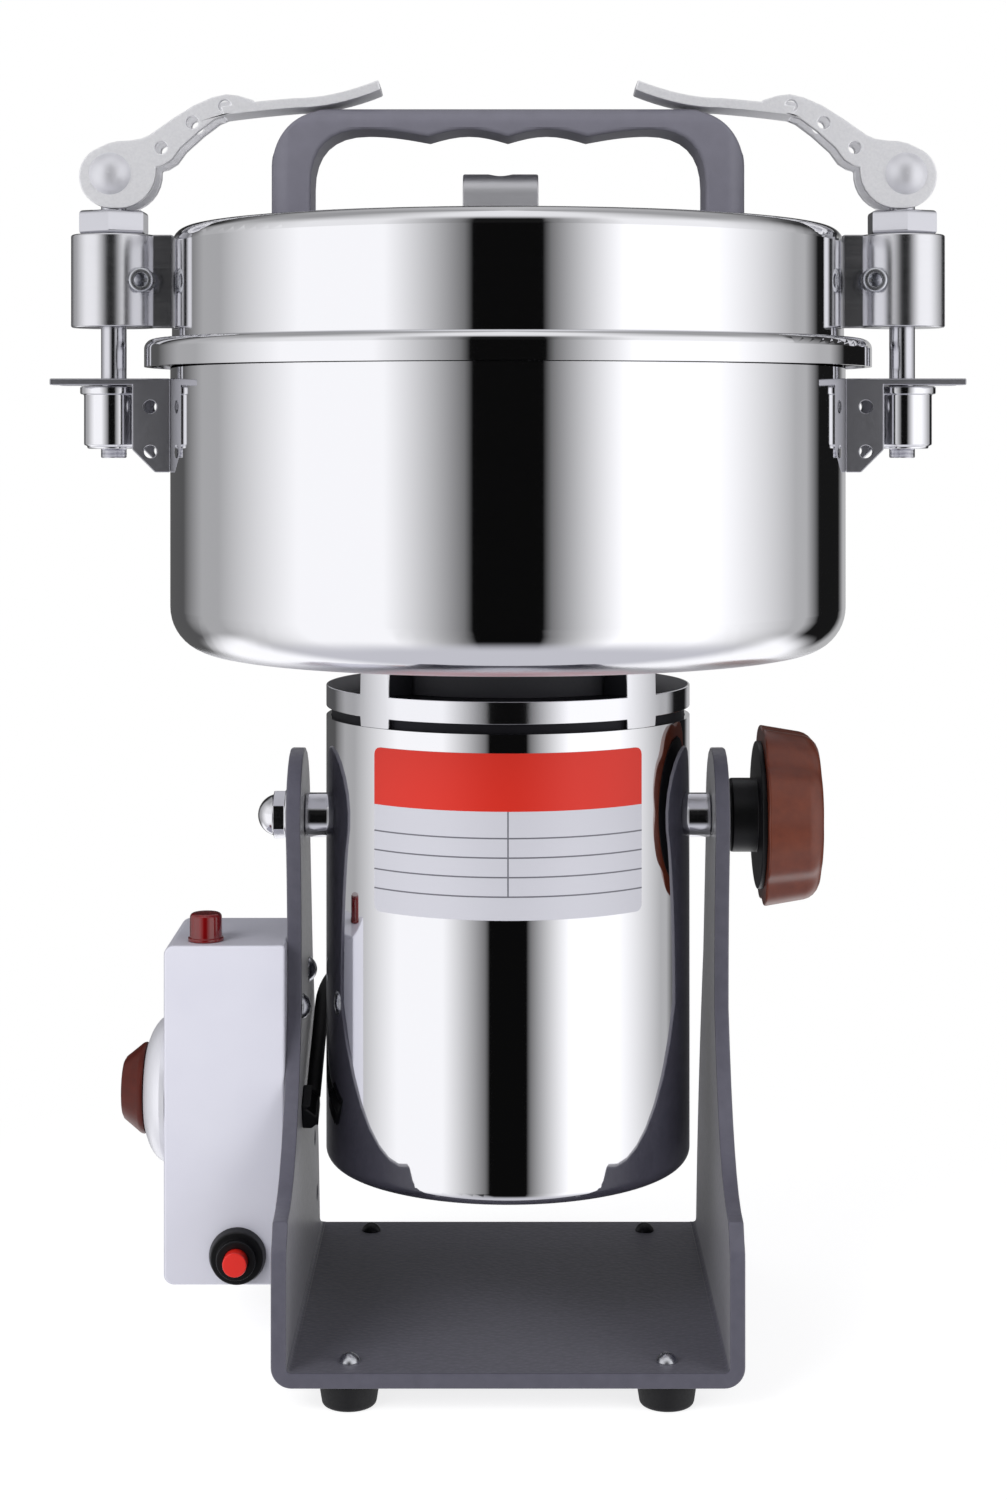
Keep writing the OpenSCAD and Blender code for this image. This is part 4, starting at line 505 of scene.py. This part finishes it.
copper_wire, tree, shader = finish("enamelled_copper_wire", "#a4522a", 0.3, 0.7, Coat_Weight=0.4)
turns = add(
    tree, "TexWave", {"Vector": own_point(tree), "Scale": wire_scale, "Distortion": 1.2}, bands_direction="DIAGONAL"
)
relief(tree, shader, turns.outputs["Fac"], 0.7, 0.0004)
vary(tree, shader, "Base Color", turns.outputs["Fac"], "#7c3a1c", "#c0683a")

commutator_copper, tree, shader = finish("commutator_copper", "#b87333", 0.22, 1.0)
vary(tree, shader, "Roughness", grain(tree, 0.0005, (1, 1, 0.1)), 0.16, 0.34)

carbon, tree, shader = finish("carbon", "#2b2b2e", 0.6, 0.2)
vary(tree, shader, "Base Color", grain(tree, 0.0006), "#222224", "#38383c")

cast_alloy, tree, shader = finish("cast_alloy", "#8d8d94", 0.5, 0.9)
skin = grain(tree, 0.0009, detail=4.0)
relief(tree, shader, skin, 0.4, 0.0001)
vary(tree, shader, "Roughness", skin, 0.4, 0.6)

bearing_steel, tree, shader = finish("bearing_steel", "#b8bcc4", 0.14, 1.0)
vary(tree, shader, "Roughness", grain(tree, 0.0006, (0.05, 0.05, 1)), 0.1, 0.2)

blade_steel, tree, shader = finish("blade_steel", "#c2c6cc", 0.2, 1.0)
ground = grain(tree, 0.0005, (1, 0.05, 1), 4.0)
vary(tree, shader, "Roughness", ground, 0.12, 0.3)
relief(tree, shader, ground, 0.2, 0.00003)

# %% [markdown]
# The bracket in the neck is one casting. Its outer wall and the outer faces of its posts are turned and polished
# with the can. Everything further in keeps the rough skin of the mould, coloured near black as painted shade in the
# neck's slot.

# %% Neck bracket
neck_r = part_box("upper_bracket")[1].x
turned_depth = 0.6 * MM
neck_casting, tree, shader = finish("turned_casting", "#e0e0e4", 0.08, 1.0)
flat_point = add(tree, "VectorMath", {0: own_point(tree), 1: (1, 1, 0)}, operation="MULTIPLY")
radius = add(tree, "VectorMath", {0: flat_point.outputs[0]}, operation="LENGTH")
turned_face = add(tree, "Math", {0: radius.outputs["Value"], 1: neck_r - turned_depth}, operation="GREATER_THAN")
# Near-black inner faces: painted shade in the neck's slot, over the rough cast skin.
vary(tree, shader, "Base Color", turned_face.outputs[0], "#2c2c30", "#e0e0e4")
vary(tree, shader, "Roughness", turned_face.outputs[0], 0.55, 0.08)
relief(tree, shader, grain(tree, 0.0009, detail=4.0), 0.04, 0.0001)

# %% [markdown]
# The plate round the can is a printed foil: a red band over a silver table of thin ruled lines with one divider.
# Its first row is the tallest, and below the last line it is plain.
# Each line is found from a point's height, so the print follows the can's round with no picture to wrap.

# %% Printed plate
plate_low, plate_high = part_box("rating_plate")
plate_cut = 1.2 * MM
red_band = 17.0 * MM
first_row_more = 2.1 * MM
line_w = 0.45 * MM
row_pitch = 5.7 * MM
row_count = 4
printed_plate, tree, shader = finish("printed_foil", "#cfcfd6", 0.38, 0.1)
axes = own_axes(tree)
band_z = plate_high.z - plate_cut - red_band
drop = add(tree, "Math", {0: band_z - first_row_more, 1: axes["Z"]}, operation="SUBTRACT")
rows = add(tree, "Math", {0: drop.outputs[0], 1: row_pitch}, operation="DIVIDE")
to_row = add(tree, "Math", {0: rows.outputs[0], 1: 0.5}, operation="PINGPONG")
on_row = add(tree, "Math", {0: to_row.outputs[0], 1: line_w / 2 / row_pitch}, operation="LESS_THAN")
table_end = add(tree, "Math", {0: rows.outputs[0], 1: row_count + 0.5}, operation="LESS_THAN")
table_start = add(tree, "Math", {0: rows.outputs[0], 1: 0.5}, operation="GREATER_THAN")
table_span = add(tree, "Math", {0: table_start.outputs[0], 1: table_end.outputs[0]}, operation="MULTIPLY")
ruled = add(tree, "Math", {0: on_row.outputs[0], 1: table_span.outputs[0]}, operation="MULTIPLY")
aside = add(tree, "Math", {0: axes["X"]}, operation="ABSOLUTE")
on_divider = add(tree, "Math", {0: aside.outputs[0], 1: line_w / 2}, operation="LESS_THAN")
table_side = add(tree, "Math", {0: rows.outputs[0], 1: float(row_count)}, operation="LESS_THAN")
divider = add(tree, "Math", {0: on_divider.outputs[0], 1: table_side.outputs[0]}, operation="MULTIPLY")
lines = add(tree, "Math", {0: ruled.outputs[0], 1: divider.outputs[0]}, operation="MAXIMUM")
silver = add(tree, "Mix", {0: lines.outputs[0], 6: linear("#bfbfc7"), 7: linear("#66666e")}, data_type="RGBA")
red = add(tree, "Math", {0: axes["Z"], 1: band_z}, operation="GREATER_THAN")
ink = add(tree, "Mix", {0: red.outputs[0], 6: silver.outputs[2], 7: linear("#c6220f")}, data_type="RGBA")
tree.links.new(ink.outputs[2], shader.inputs["Base Color"])

# %% [markdown]
# ## Finishes on the CAD nodes
# Every CAD node takes its finish here. A solid whose shape is right is shown as it is. A finer piece that is made
# later takes over the finish of the node that it stands for.

# %% Assign the finishes
finishes = {
    can_steel: ["motor_can"],
    bowl_steel: ["bowl"],
    lid_steel: ["lid_shell"],
    turned_steel: [
        "left_adjusting_nut", "right_adjusting_nut", "seal_housing", "left_trunnion", "right_trunnion",
        "blade_spacer", "blade_nut", "motor_shaft", "pivot_nut",
    ],
    blasted_steel: ["left_lever", "right_lever"],
    lug_steel: ["clamp_lugs"],
    seat_steel: ["cam_seats"],
    brushed_steel: ["lid_strap"],
    catch_steel: ["catch_brackets"],
    pin_steel: ["left_cam_pin", "right_cam_pin"],
    zinc_plate: ["foot_screws", "box_screws", "pan_screws", "tie_bolts", "lug_screws"],
    thread_steel: ["left_tie_rod", "right_tie_rod"],
    hammertone: ["yoke_frame"],
    box_enamel: ["control_box"],
    handle_coat: ["lid_handle"],
    brown_phenolic: ["lock_knob"],
    dark_phenolic: ["timer_knob"],
    black_nylon: ["breaker_body", "cord_gland", "cable_elbow", "motor_gland", "lock_stud", "cooling_fan"],
    black_rubber: ["rubber_feet", "shaft_seal", "motor_cable"],
    grey_rubber: ["neck_gasket"],
    white_silicone: ["lid_gasket"],
    lamp_red: ["indicator_lamp"],
    button_red: ["reset_button"],
    cream_plastic: ["timer_body"],
    dial_plastic: ["timer_dial"],
    laminations: ["stator_core", "armature_core"],
    copper_wire: ["field_coils", "armature_windings"],
    commutator_copper: ["commutator"],
    carbon: ["carbon_brushes"],
    cast_alloy: ["lower_bracket", "brush_holders"],
    neck_casting: ["upper_bracket"],
    bearing_steel: ["bearings"],
    blade_steel: ["lower_blade", "upper_blade"],
    printed_plate: ["rating_plate"],
}
for material, names in finishes.items():
    for name in names:
        nodes[name].data.materials.clear()
        nodes[name].data.materials.append(material)
bare = sorted(set(nodes) - {name for names in finishes.values() for name in names})
print("finishes:", len(finishes), "nodes without one:", bare)

# %% [markdown]
# ## Pieces with softened edges
# A CAD edge is a line without width, and a real one always has a small radius that catches the light. A copy of
# the solid is merged into clean faces, its sharp edges are rounded by the amount that its process leaves, and it
# stands for the CAD node.


# %% Piece helpers
body_of = {name: next(b for b, empty in frame["bodies"].items() if empty == nodes[name].parent) for name in nodes}
weld_distance = 0.002 * MM
flat_angle = math.radians(0.3)
crease_angle = math.radians(32)


def solid_of(name):
    """A CAD solid as clean faces: its triangles joined, the flat ones merged."""
    bm = bmesh.new()
    bm.from_mesh(nodes[name].data)
    bmesh.ops.transform(bm, matrix=nodes[name].matrix_world, verts=bm.verts)
    bmesh.ops.remove_doubles(bm, verts=bm.verts, dist=weld_distance)
    bmesh.ops.dissolve_limit(bm, angle_limit=flat_angle, verts=bm.verts, edges=bm.edges)
    bmesh.ops.recalc_face_normals(bm, faces=bm.faces)
    return bm


def rounded(bm, width, segments=2, angle=30):
    """Rounds the edges sharper than an angle."""
    sharp = [
        edge for edge in bm.edges if len(edge.link_faces) == 2 and edge.calc_face_angle(0) > math.radians(angle)
    ]
    bmesh.ops.bevel(
        bm, geom=sharp, offset=width, affect="EDGES", segments=segments, profile=0.5, material=-1,
        clamp_overlap=False,
    )


def piece(name, bm, node):
    """A finished piece from a mesh. It takes the body and finish of the CAD node that it stands for."""
    for face in bm.faces:
        face.smooth = True
    mesh = bpy.data.meshes.new(name)
    bm.to_mesh(mesh)
    bm.free()
    mesh.set_sharp_from_angle(angle=crease_angle)
    mesh.materials.append(nodes[node].data.materials[0])
    obj = bpy.data.objects.new(name, mesh)
    bpy.context.collection.objects.link(obj)
    shading = obj.modifiers.new("even_shading", "WEIGHTED_NORMAL")
    shading.keep_sharp = True
    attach(obj, body_of[node])
    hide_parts(node)
    print(name, "faces:", len(mesh.polygons), "size in mm:", [round(x / MM, 1) for x in obj.dimensions])
    return obj


# %% [markdown]
# Sheet, cast and moulded pieces, each with its edge radius in millimetres: laser-cut sheet that was painted keeps
# 0.6, a deburred steel plate 0.4, a tumbled lever 0.5, a pressed and coated box 1.

# %% Softened pieces
edge_radii = {
    "yoke_frame": 0.6, "control_box": 1.0, "left_lever": 0.5, "right_lever": 0.5, "box_screws": 0.3,
    "catch_brackets": 0.4, "left_adjusting_nut": 0.5, "right_adjusting_nut": 0.5, "timer_knob": 0.6,
    "upper_bracket": 0.3, "left_trunnion": 0.3, "right_trunnion": 0.3, "pivot_nut": 0.3, "lock_stud": 0.4,
    "breaker_body": 0.4, "reset_button": 0.5, "cable_elbow": 0.5, "upper_blade": 0.2, "lower_blade": 0.2,
    "blade_spacer": 0.4, "blade_nut": 0.5, "seal_housing": 0.4, "left_tie_rod": 0.4, "right_tie_rod": 0.4,
}
for name, radius in edge_radii.items():
    bm = solid_of(name)
    rounded(bm, radius * MM)
    piece(name + "_finished", bm, name)

# %% [markdown]
# The handle is die cast and then coated. Round its openings the edges have a radius of 1.4 mm, so that it doesn't
# cut into the fingers.

# %% Handle
bm = solid_of("lid_handle")
rounded(bm, 1.4 * MM, segments=3, angle=35)
piece("handle_finished", bm, "lid_handle")

# %% [markdown]
# ## Turned pieces
# A turned piece starts as a few corners of its half section. It is spun about the axis, and each corner then gets
# its own radius.


# %% Turning
tiny = 0.001 * MM


def turned(corners, steps):
    """A piece turned about Z from corners of (radius, height, rounding)."""
    bm = bmesh.new()
    section = [bm.verts.new((r, 0, z)) for r, z, _ in corners]
    lines = [bm.edges.new(pair) for pair in zip(section, section[1:])]
    bmesh.ops.spin(
        bm, geom=section + lines, cent=(0, 0, 0), axis=(0, 0, 1), dvec=(0, 0, 0), angle=2 * math.pi, steps=steps,
        use_merge=True, use_duplicate=False,
    )
    bmesh.ops.remove_doubles(bm, verts=bm.verts, dist=tiny)
    for r, z, rounding in corners:
        if rounding:
            ring = [
                edge
                for edge in bm.edges
                if all(abs(v.co.z - z) < tiny and abs(v.co.xy.length - r) < tiny for v in edge.verts)
            ]
            bmesh.ops.bevel(bm, geom=ring, offset=rounding, affect="EDGES", segments=5, profile=0.5)
    bmesh.ops.recalc_face_normals(bm, faces=bm.faces)
    return bm


# %% [markdown]
# The strap is bent from a flat strip. Its line is drawn from the side, with wide upper bends that turn away from
# the light: they make the dark edge at its top. The line is drawn out to the strip's width, and the hole is cut
# through the top.

# %% Strap
strap_low, strap_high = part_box("lid_strap")
strap_w = strap_high.x - strap_low.x
sheet = 2.0 * MM
leg_y = 8.0 * MM
bend = 6.6 * MM
strap_hole_r = 4.5 * MM


def over(half, height, radius, steps=12):
    """Points of (y, z) up the front leg's bend, over the top and down the rear one."""
    angles = [math.pi / 2 * i / steps for i in range(steps + 1)]
    front = [(radius - half - radius * math.cos(a), height - radius + radius * math.sin(a)) for a in angles]
    return front + [(-y, z) for y, z in reversed(front)]


def without(bm, tool):
    """A mesh in the making with a tool's volume cut away."""
    pair = []
    for part in (bm, tool):
        mesh = bpy.data.meshes.new("cut")
        part.to_mesh(mesh)
        part.free()
        pair.append(bpy.data.objects.new("cut", mesh))
        bpy.context.collection.objects.link(pair[-1])
    cut = pair[0].modifiers.new("cut", "BOOLEAN")
    cut.object = pair[1]
    cut.solver = "EXACT"
    bpy.context.view_layer.update()
    mesh = bpy.data.meshes.new_from_object(pair[0].evaluated_get(bpy.context.evaluated_depsgraph_get()))
    for obj in pair:
        bpy.data.objects.remove(obj)
    bm = bmesh.new()
    bm.from_mesh(mesh)
    bpy.data.meshes.remove(mesh)
    return bm


strap_h = strap_high.z - strap_low.z
foot_y = strap_high.y
outer = over(leg_y, strap_h, bend)
inner = over(leg_y - sheet, strap_h - sheet, bend - sheet)
line = [(-foot_y, 0), (-foot_y, sheet), (-leg_y, sheet)] + outer + [(leg_y, sheet), (foot_y, sheet), (foot_y, 0)]
line += [(leg_y - sheet, 0)] + inner[::-1] + [(sheet - leg_y, 0)]
bm = bmesh.new()
face = bm.faces.new([bm.verts.new((strap_low.x, y, strap_low.z + z)) for y, z in line])
drawn = bmesh.ops.extrude_face_region(bm, geom=[face])["geom"]
bmesh.ops.translate(bm, vec=(strap_w, 0, 0), verts=[v for v in drawn if isinstance(v, bmesh.types.BMVert)])
bmesh.ops.recalc_face_normals(bm, faces=bm.faces)
rounded(bm, 0.5 * MM, angle=50)
drill = turned([(0, 0, 0), (strap_hole_r, 0, 0), (strap_hole_r, strap_h, 0), (0, strap_h, 0)], 64)
middle = (strap_low.x + strap_high.x) / 2
bmesh.ops.translate(drill, vec=(middle, 0, strap_high.z - strap_h / 2), verts=drill.verts)
piece("strap_finished", without(bm, drill), "lid_strap")

# %% [markdown]
# A lug is a barrel, turned and polished, on a web of flat bar that is welded to the lid's wall and ends in the
# barrel's. The tie rod slides in its bore. The seat on it is a hexagon that stands with a corner to the front:
# turning in six steps makes the hexagon. Its chamfers keep the cam from biting into an edge.

# %% Lugs and seats
def join(bm, other):
    """Adds one mesh in the making to another."""
    mesh = bpy.data.meshes.new("join")
    other.to_mesh(mesh)
    other.free()
    bm.from_mesh(mesh)
    bpy.data.meshes.remove(mesh)


lug_low, lug_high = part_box("clamp_lugs")
seat_low, seat_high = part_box("cam_seats")
rod_x = (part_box("right_tie_rod")[0].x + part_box("right_tie_rod")[1].x) / 2
barrel_r = lug_high.x - rod_x
lug_h = lug_high.z - lug_low.z
seat_h = seat_high.z - seat_low.z
bore_r = 4.2 * MM
lid_wall_x = 104.6 * MM
web_end_x = rod_x - bore_r - 2.0 * MM
web_t = 7.0 * MM
chamfer = 1.2 * MM
hexagon_r = seat_high.y * 2 / math.sqrt(3)
lugs, seats = bmesh.new(), bmesh.new()
for side in (-1, 1):
    place = (side * rod_x, 0, lug_low.z)
    barrel = turned(
        [
            (bore_r, 0, 0.3 * MM), (barrel_r, 0, 0.7 * MM), (barrel_r, lug_h, 0.7 * MM), (bore_r, lug_h, 0.3 * MM),
            (bore_r, 0, 0),
        ],
        96,
    )
    bmesh.ops.translate(barrel, vec=place, verts=barrel.verts)
    join(lugs, barrel)
    web = bmesh.new()
    bmesh.ops.create_cube(web, size=1)
    bmesh.ops.scale(web, vec=(web_end_x - lid_wall_x, web_t, lug_h), verts=web.verts)
    web_x = side * (web_end_x + lid_wall_x) / 2
    bmesh.ops.translate(web, vec=(web_x, 0, lug_low.z + lug_h / 2), verts=web.verts)
    rounded(web, 0.6 * MM)
    join(lugs, web)
    seat = turned(
        [
            (bore_r, 0, 0), (hexagon_r, 0, chamfer), (hexagon_r, seat_h, chamfer), (bore_r, seat_h, 0),
            (bore_r, 0, 0),
        ],
        6,
    )
    bmesh.ops.rotate(seat, cent=(0, 0, 0), matrix=Matrix.Rotation(math.radians(30), 3, "Z"), verts=seat.verts)
    bmesh.ops.translate(seat, vec=(side * rod_x, 0, seat_low.z), verts=seat.verts)
    join(seats, seat)
piece("clamp_lugs_finished", lugs, "clamp_lugs")
piece("cam_seats_finished", seats, "cam_seats")

# %% [markdown]
# The cross screw of each lug has a button head with a deep socket. Its boss stands clear of the barrel's flank, so
# the whole ring of it shows from the front.

# %% Cross screws
screw_low, screw_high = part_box("lug_screws")
screw_x = screw_high.x - (screw_high.z - screw_low.z) / 2
screw_z = (screw_high.z + screw_low.z) / 2
head_r = 3.9 * MM
head_h = 6.0 * MM
boss_y = -6.4 * MM
socket_r = 2.1 * MM
socket_floor = head_h - 4.6 * MM
drill_end = head_h - 5.4 * MM
bm = solid_of("lug_screws")
for side in (-1, 1):
    head = turned(
        [
            (0, drill_end, 0), (socket_r, socket_floor, 0), (socket_r + 0.1 * MM, head_h, 0.15 * MM),
            (head_r, head_h, 0.9 * MM), (head_r, 0, 0),
        ],
        48,
    )
    bmesh.ops.rotate(head, cent=(0, 0, 0), matrix=Matrix.Rotation(math.radians(90), 3, "X"), verts=head.verts)
    bmesh.ops.translate(head, vec=(side * screw_x, boss_y, screw_z), verts=head.verts)
    join(bm, head)
piece("lug_screws_finished", bm, "lug_screws")

# %% [markdown]
# The four foot screws are alike. One piece of each pair stands for the node, and the rear one takes a near-black
# finish: a painted reflection of the can and painted shade of the screw holes.

# %% Foot screws
for row, side in (("front", -1), ("rear", 1)):
    bm = solid_of("foot_screws")
    other_row = [v for v in bm.verts if v.co.y * side < 0]
    bmesh.ops.delete(bm, geom=other_row, context="VERTS")
    rounded(bm, 0.2 * MM, angle=50)
    screws = piece("foot_screws_" + row, bm, "foot_screws")
    # The rear pair is the same zinc-plated screw, darkened as painted reflection and painted shade.
    if row == "rear":
        screws.data.materials[0] = black_oxide

# %% [markdown]
# The lock knob is pressed from brown phenolic in a two-part mould. Eight shallow hollows give the fingers a hold.
# They run out smoothly, so the turned blank is drawn in by a wave that is strongest at the rim.

# %% Lock knob
knob_low, knob_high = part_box("lock_knob")
knob_r = (knob_high.z - knob_low.z) / 2
knob_t = knob_high.x - knob_low.x
knob_z = (knob_high.z + knob_low.z) / 2
lobes = 8
hollow = 2.2 * MM
shoulder = 3.0 * MM
face_r = 11.5 * MM
face_depth = 1.0 * MM
bm = turned(
    [
        (0, 0, 0), (knob_r, 0, 0.8 * MM), (knob_r - shoulder, knob_t, 5.0 * MM), (face_r, knob_t, 0.3 * MM),
        (face_r, knob_t - face_depth, 0.2 * MM), (0, knob_t - face_depth, 0),
    ],
    192,
)
for v in bm.verts:
    r = v.co.xy.length
    wave = (0.5 + 0.5 * math.cos(lobes * math.atan2(v.co.y, v.co.x))) ** 2
    v.co.xy *= 1 - hollow / knob_r * wave * (r / knob_r) ** 3
bmesh.ops.rotate(bm, cent=(0, 0, 0), matrix=Matrix.Rotation(math.radians(90), 3, "Y"), verts=bm.verts)
bmesh.ops.translate(bm, vec=(knob_low.x, 0, knob_z), verts=bm.verts)
piece("lock_knob_finished", bm, "lock_knob")

# %% [markdown]
# The lamp is a moulded cap over a neon bulb. It has a bright bezel ring at its foot and a domed top.

# %% Indicator lamp
lamp_low, lamp_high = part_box("indicator_lamp")
box_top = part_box("control_box")[1].z
lamp_x, lamp_y = (lamp_low.x + lamp_high.x) / 2, (lamp_low.y + lamp_high.y) / 2
lamp_r = 5.5 * MM
bezel_h = 1.1 * MM
lamp_h = lamp_high.z - box_top
bm = solid_of("indicator_lamp")
cap = turned(
    [
        (0, 0, 0), (lamp_r, 0, 0.2 * MM), (lamp_r, bezel_h, 0.3 * MM), (lamp_r - 0.5 * MM, bezel_h, 0.2 * MM),
        (lamp_r - 0.6 * MM, lamp_h, 1.2 * MM), (0, lamp_h, 0),
    ],
    64,
)
bmesh.ops.translate(cap, vec=(lamp_x, lamp_y, box_top), verts=cap.verts)
above_box = [v for v in bm.verts if v.co.z > box_top + 0.01 * MM]
bmesh.ops.delete(bm, geom=above_box, context="VERTS")
join(bm, cap)
piece("lamp_finished", bm, "indicator_lamp")

# %% [markdown]
# ## Plate and lead
# The plate is foil on the can's front, cut a little smaller than the CAD's. A vertical line is swept round the can
# for the plate's angle, its four corners are cut round, and the sheet gets its thickness.

# %% Plate round the can
plate_r = math.hypot(plate_high.x, plate_high.y)
plate_t = 0.35 * MM
plate_corner = 2.2 * MM
plate_share = 0.98
half = math.atan2(plate_high.x, -plate_high.y) * plate_share
bm = bmesh.new()
ends = [bm.verts.new((0, -plate_r, z)) for z in (plate_low.z, plate_high.z - plate_cut)]
line = bm.edges.new(ends)
bmesh.ops.rotate(bm, cent=(0, 0, 0), matrix=Matrix.Rotation(-half, 3, "Z"), verts=ends)
bmesh.ops.spin(
    bm, geom=ends + [line], cent=(0, 0, 0), axis=(0, 0, 1), dvec=(0, 0, 0), angle=2 * half, steps=32,
    use_duplicate=False,
)
corners = [v for v in bm.verts if len(v.link_edges) == 2]
bmesh.ops.bevel(bm, geom=corners, offset=plate_corner, affect="VERTICES", segments=4, profile=0.5)
bmesh.ops.recalc_face_normals(bm, faces=bm.faces)
bmesh.ops.solidify(bm, geom=bm.faces[:], thickness=plate_t)
print("plate radii in mm:", sorted({round(v.co.xy.length / MM, 2) for v in bm.verts}))
piece("plate_finished", bm, "rating_plate")

# %% [markdown]
# The motor's lead leaves the gland on the can, drops down inside the left arm and goes into the elbow that leads
# through the arm into the box. It is a rubber cable of 4.6 mm.

# %% Motor lead
lead_d = 4.6 * MM
lead_points = [
    (-48.0, 46.4, 105.0), (-50.2, 48.5, 105.0), (-55.4, 47.6, 103.2), (-58.4, 43.6, 100.8), (-60.2, 38.0, 97.5),
    (-60.6, 30.0, 93.0), (-60.6, 20.0, 88.0), (-60.6, 9.0, 82.5), (-60.6, 0.0, 78.0), (-60.6, -6.0, 75.0),
]
lead_points = [Vector(p) * MM for p in lead_points]
lead_curve = bpy.data.curves.new("motor_lead_line", "CURVE")
lead_curve.dimensions = "3D"
lead_curve.bevel_depth = lead_d / 2
lead_curve.bevel_resolution = 5
lead_curve.use_fill_caps = True
spline = lead_curve.splines.new("BEZIER")
spline.bezier_points.add(len(lead_points) - 1)
for knot, point in zip(spline.bezier_points, lead_points):
    knot.co = point
    knot.handle_left_type = knot.handle_right_type = "AUTO"
spline.resolution_u = 5
line_object = bpy.data.objects.new("motor_lead_line", lead_curve)
bpy.context.collection.objects.link(line_object)
bpy.context.view_layer.update()
tube = bpy.data.meshes.new_from_object(line_object.evaluated_get(bpy.context.evaluated_depsgraph_get()))
bpy.data.objects.remove(line_object)
tube.name = "motor_lead"
for polygon in tube.polygons:
    polygon.use_smooth = True
tube.materials.clear()
tube.materials.append(black_rubber)
lead = bpy.data.objects.new("motor_lead", tube)
bpy.context.collection.objects.link(lead)
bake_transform(lead)
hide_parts("motor_cable")

# %% [markdown]
# ## End
# The picture keeps its plain colours, so the view transform is Standard.

# %% Finish
bpy.context.scene.view_settings.view_transform = "Standard"
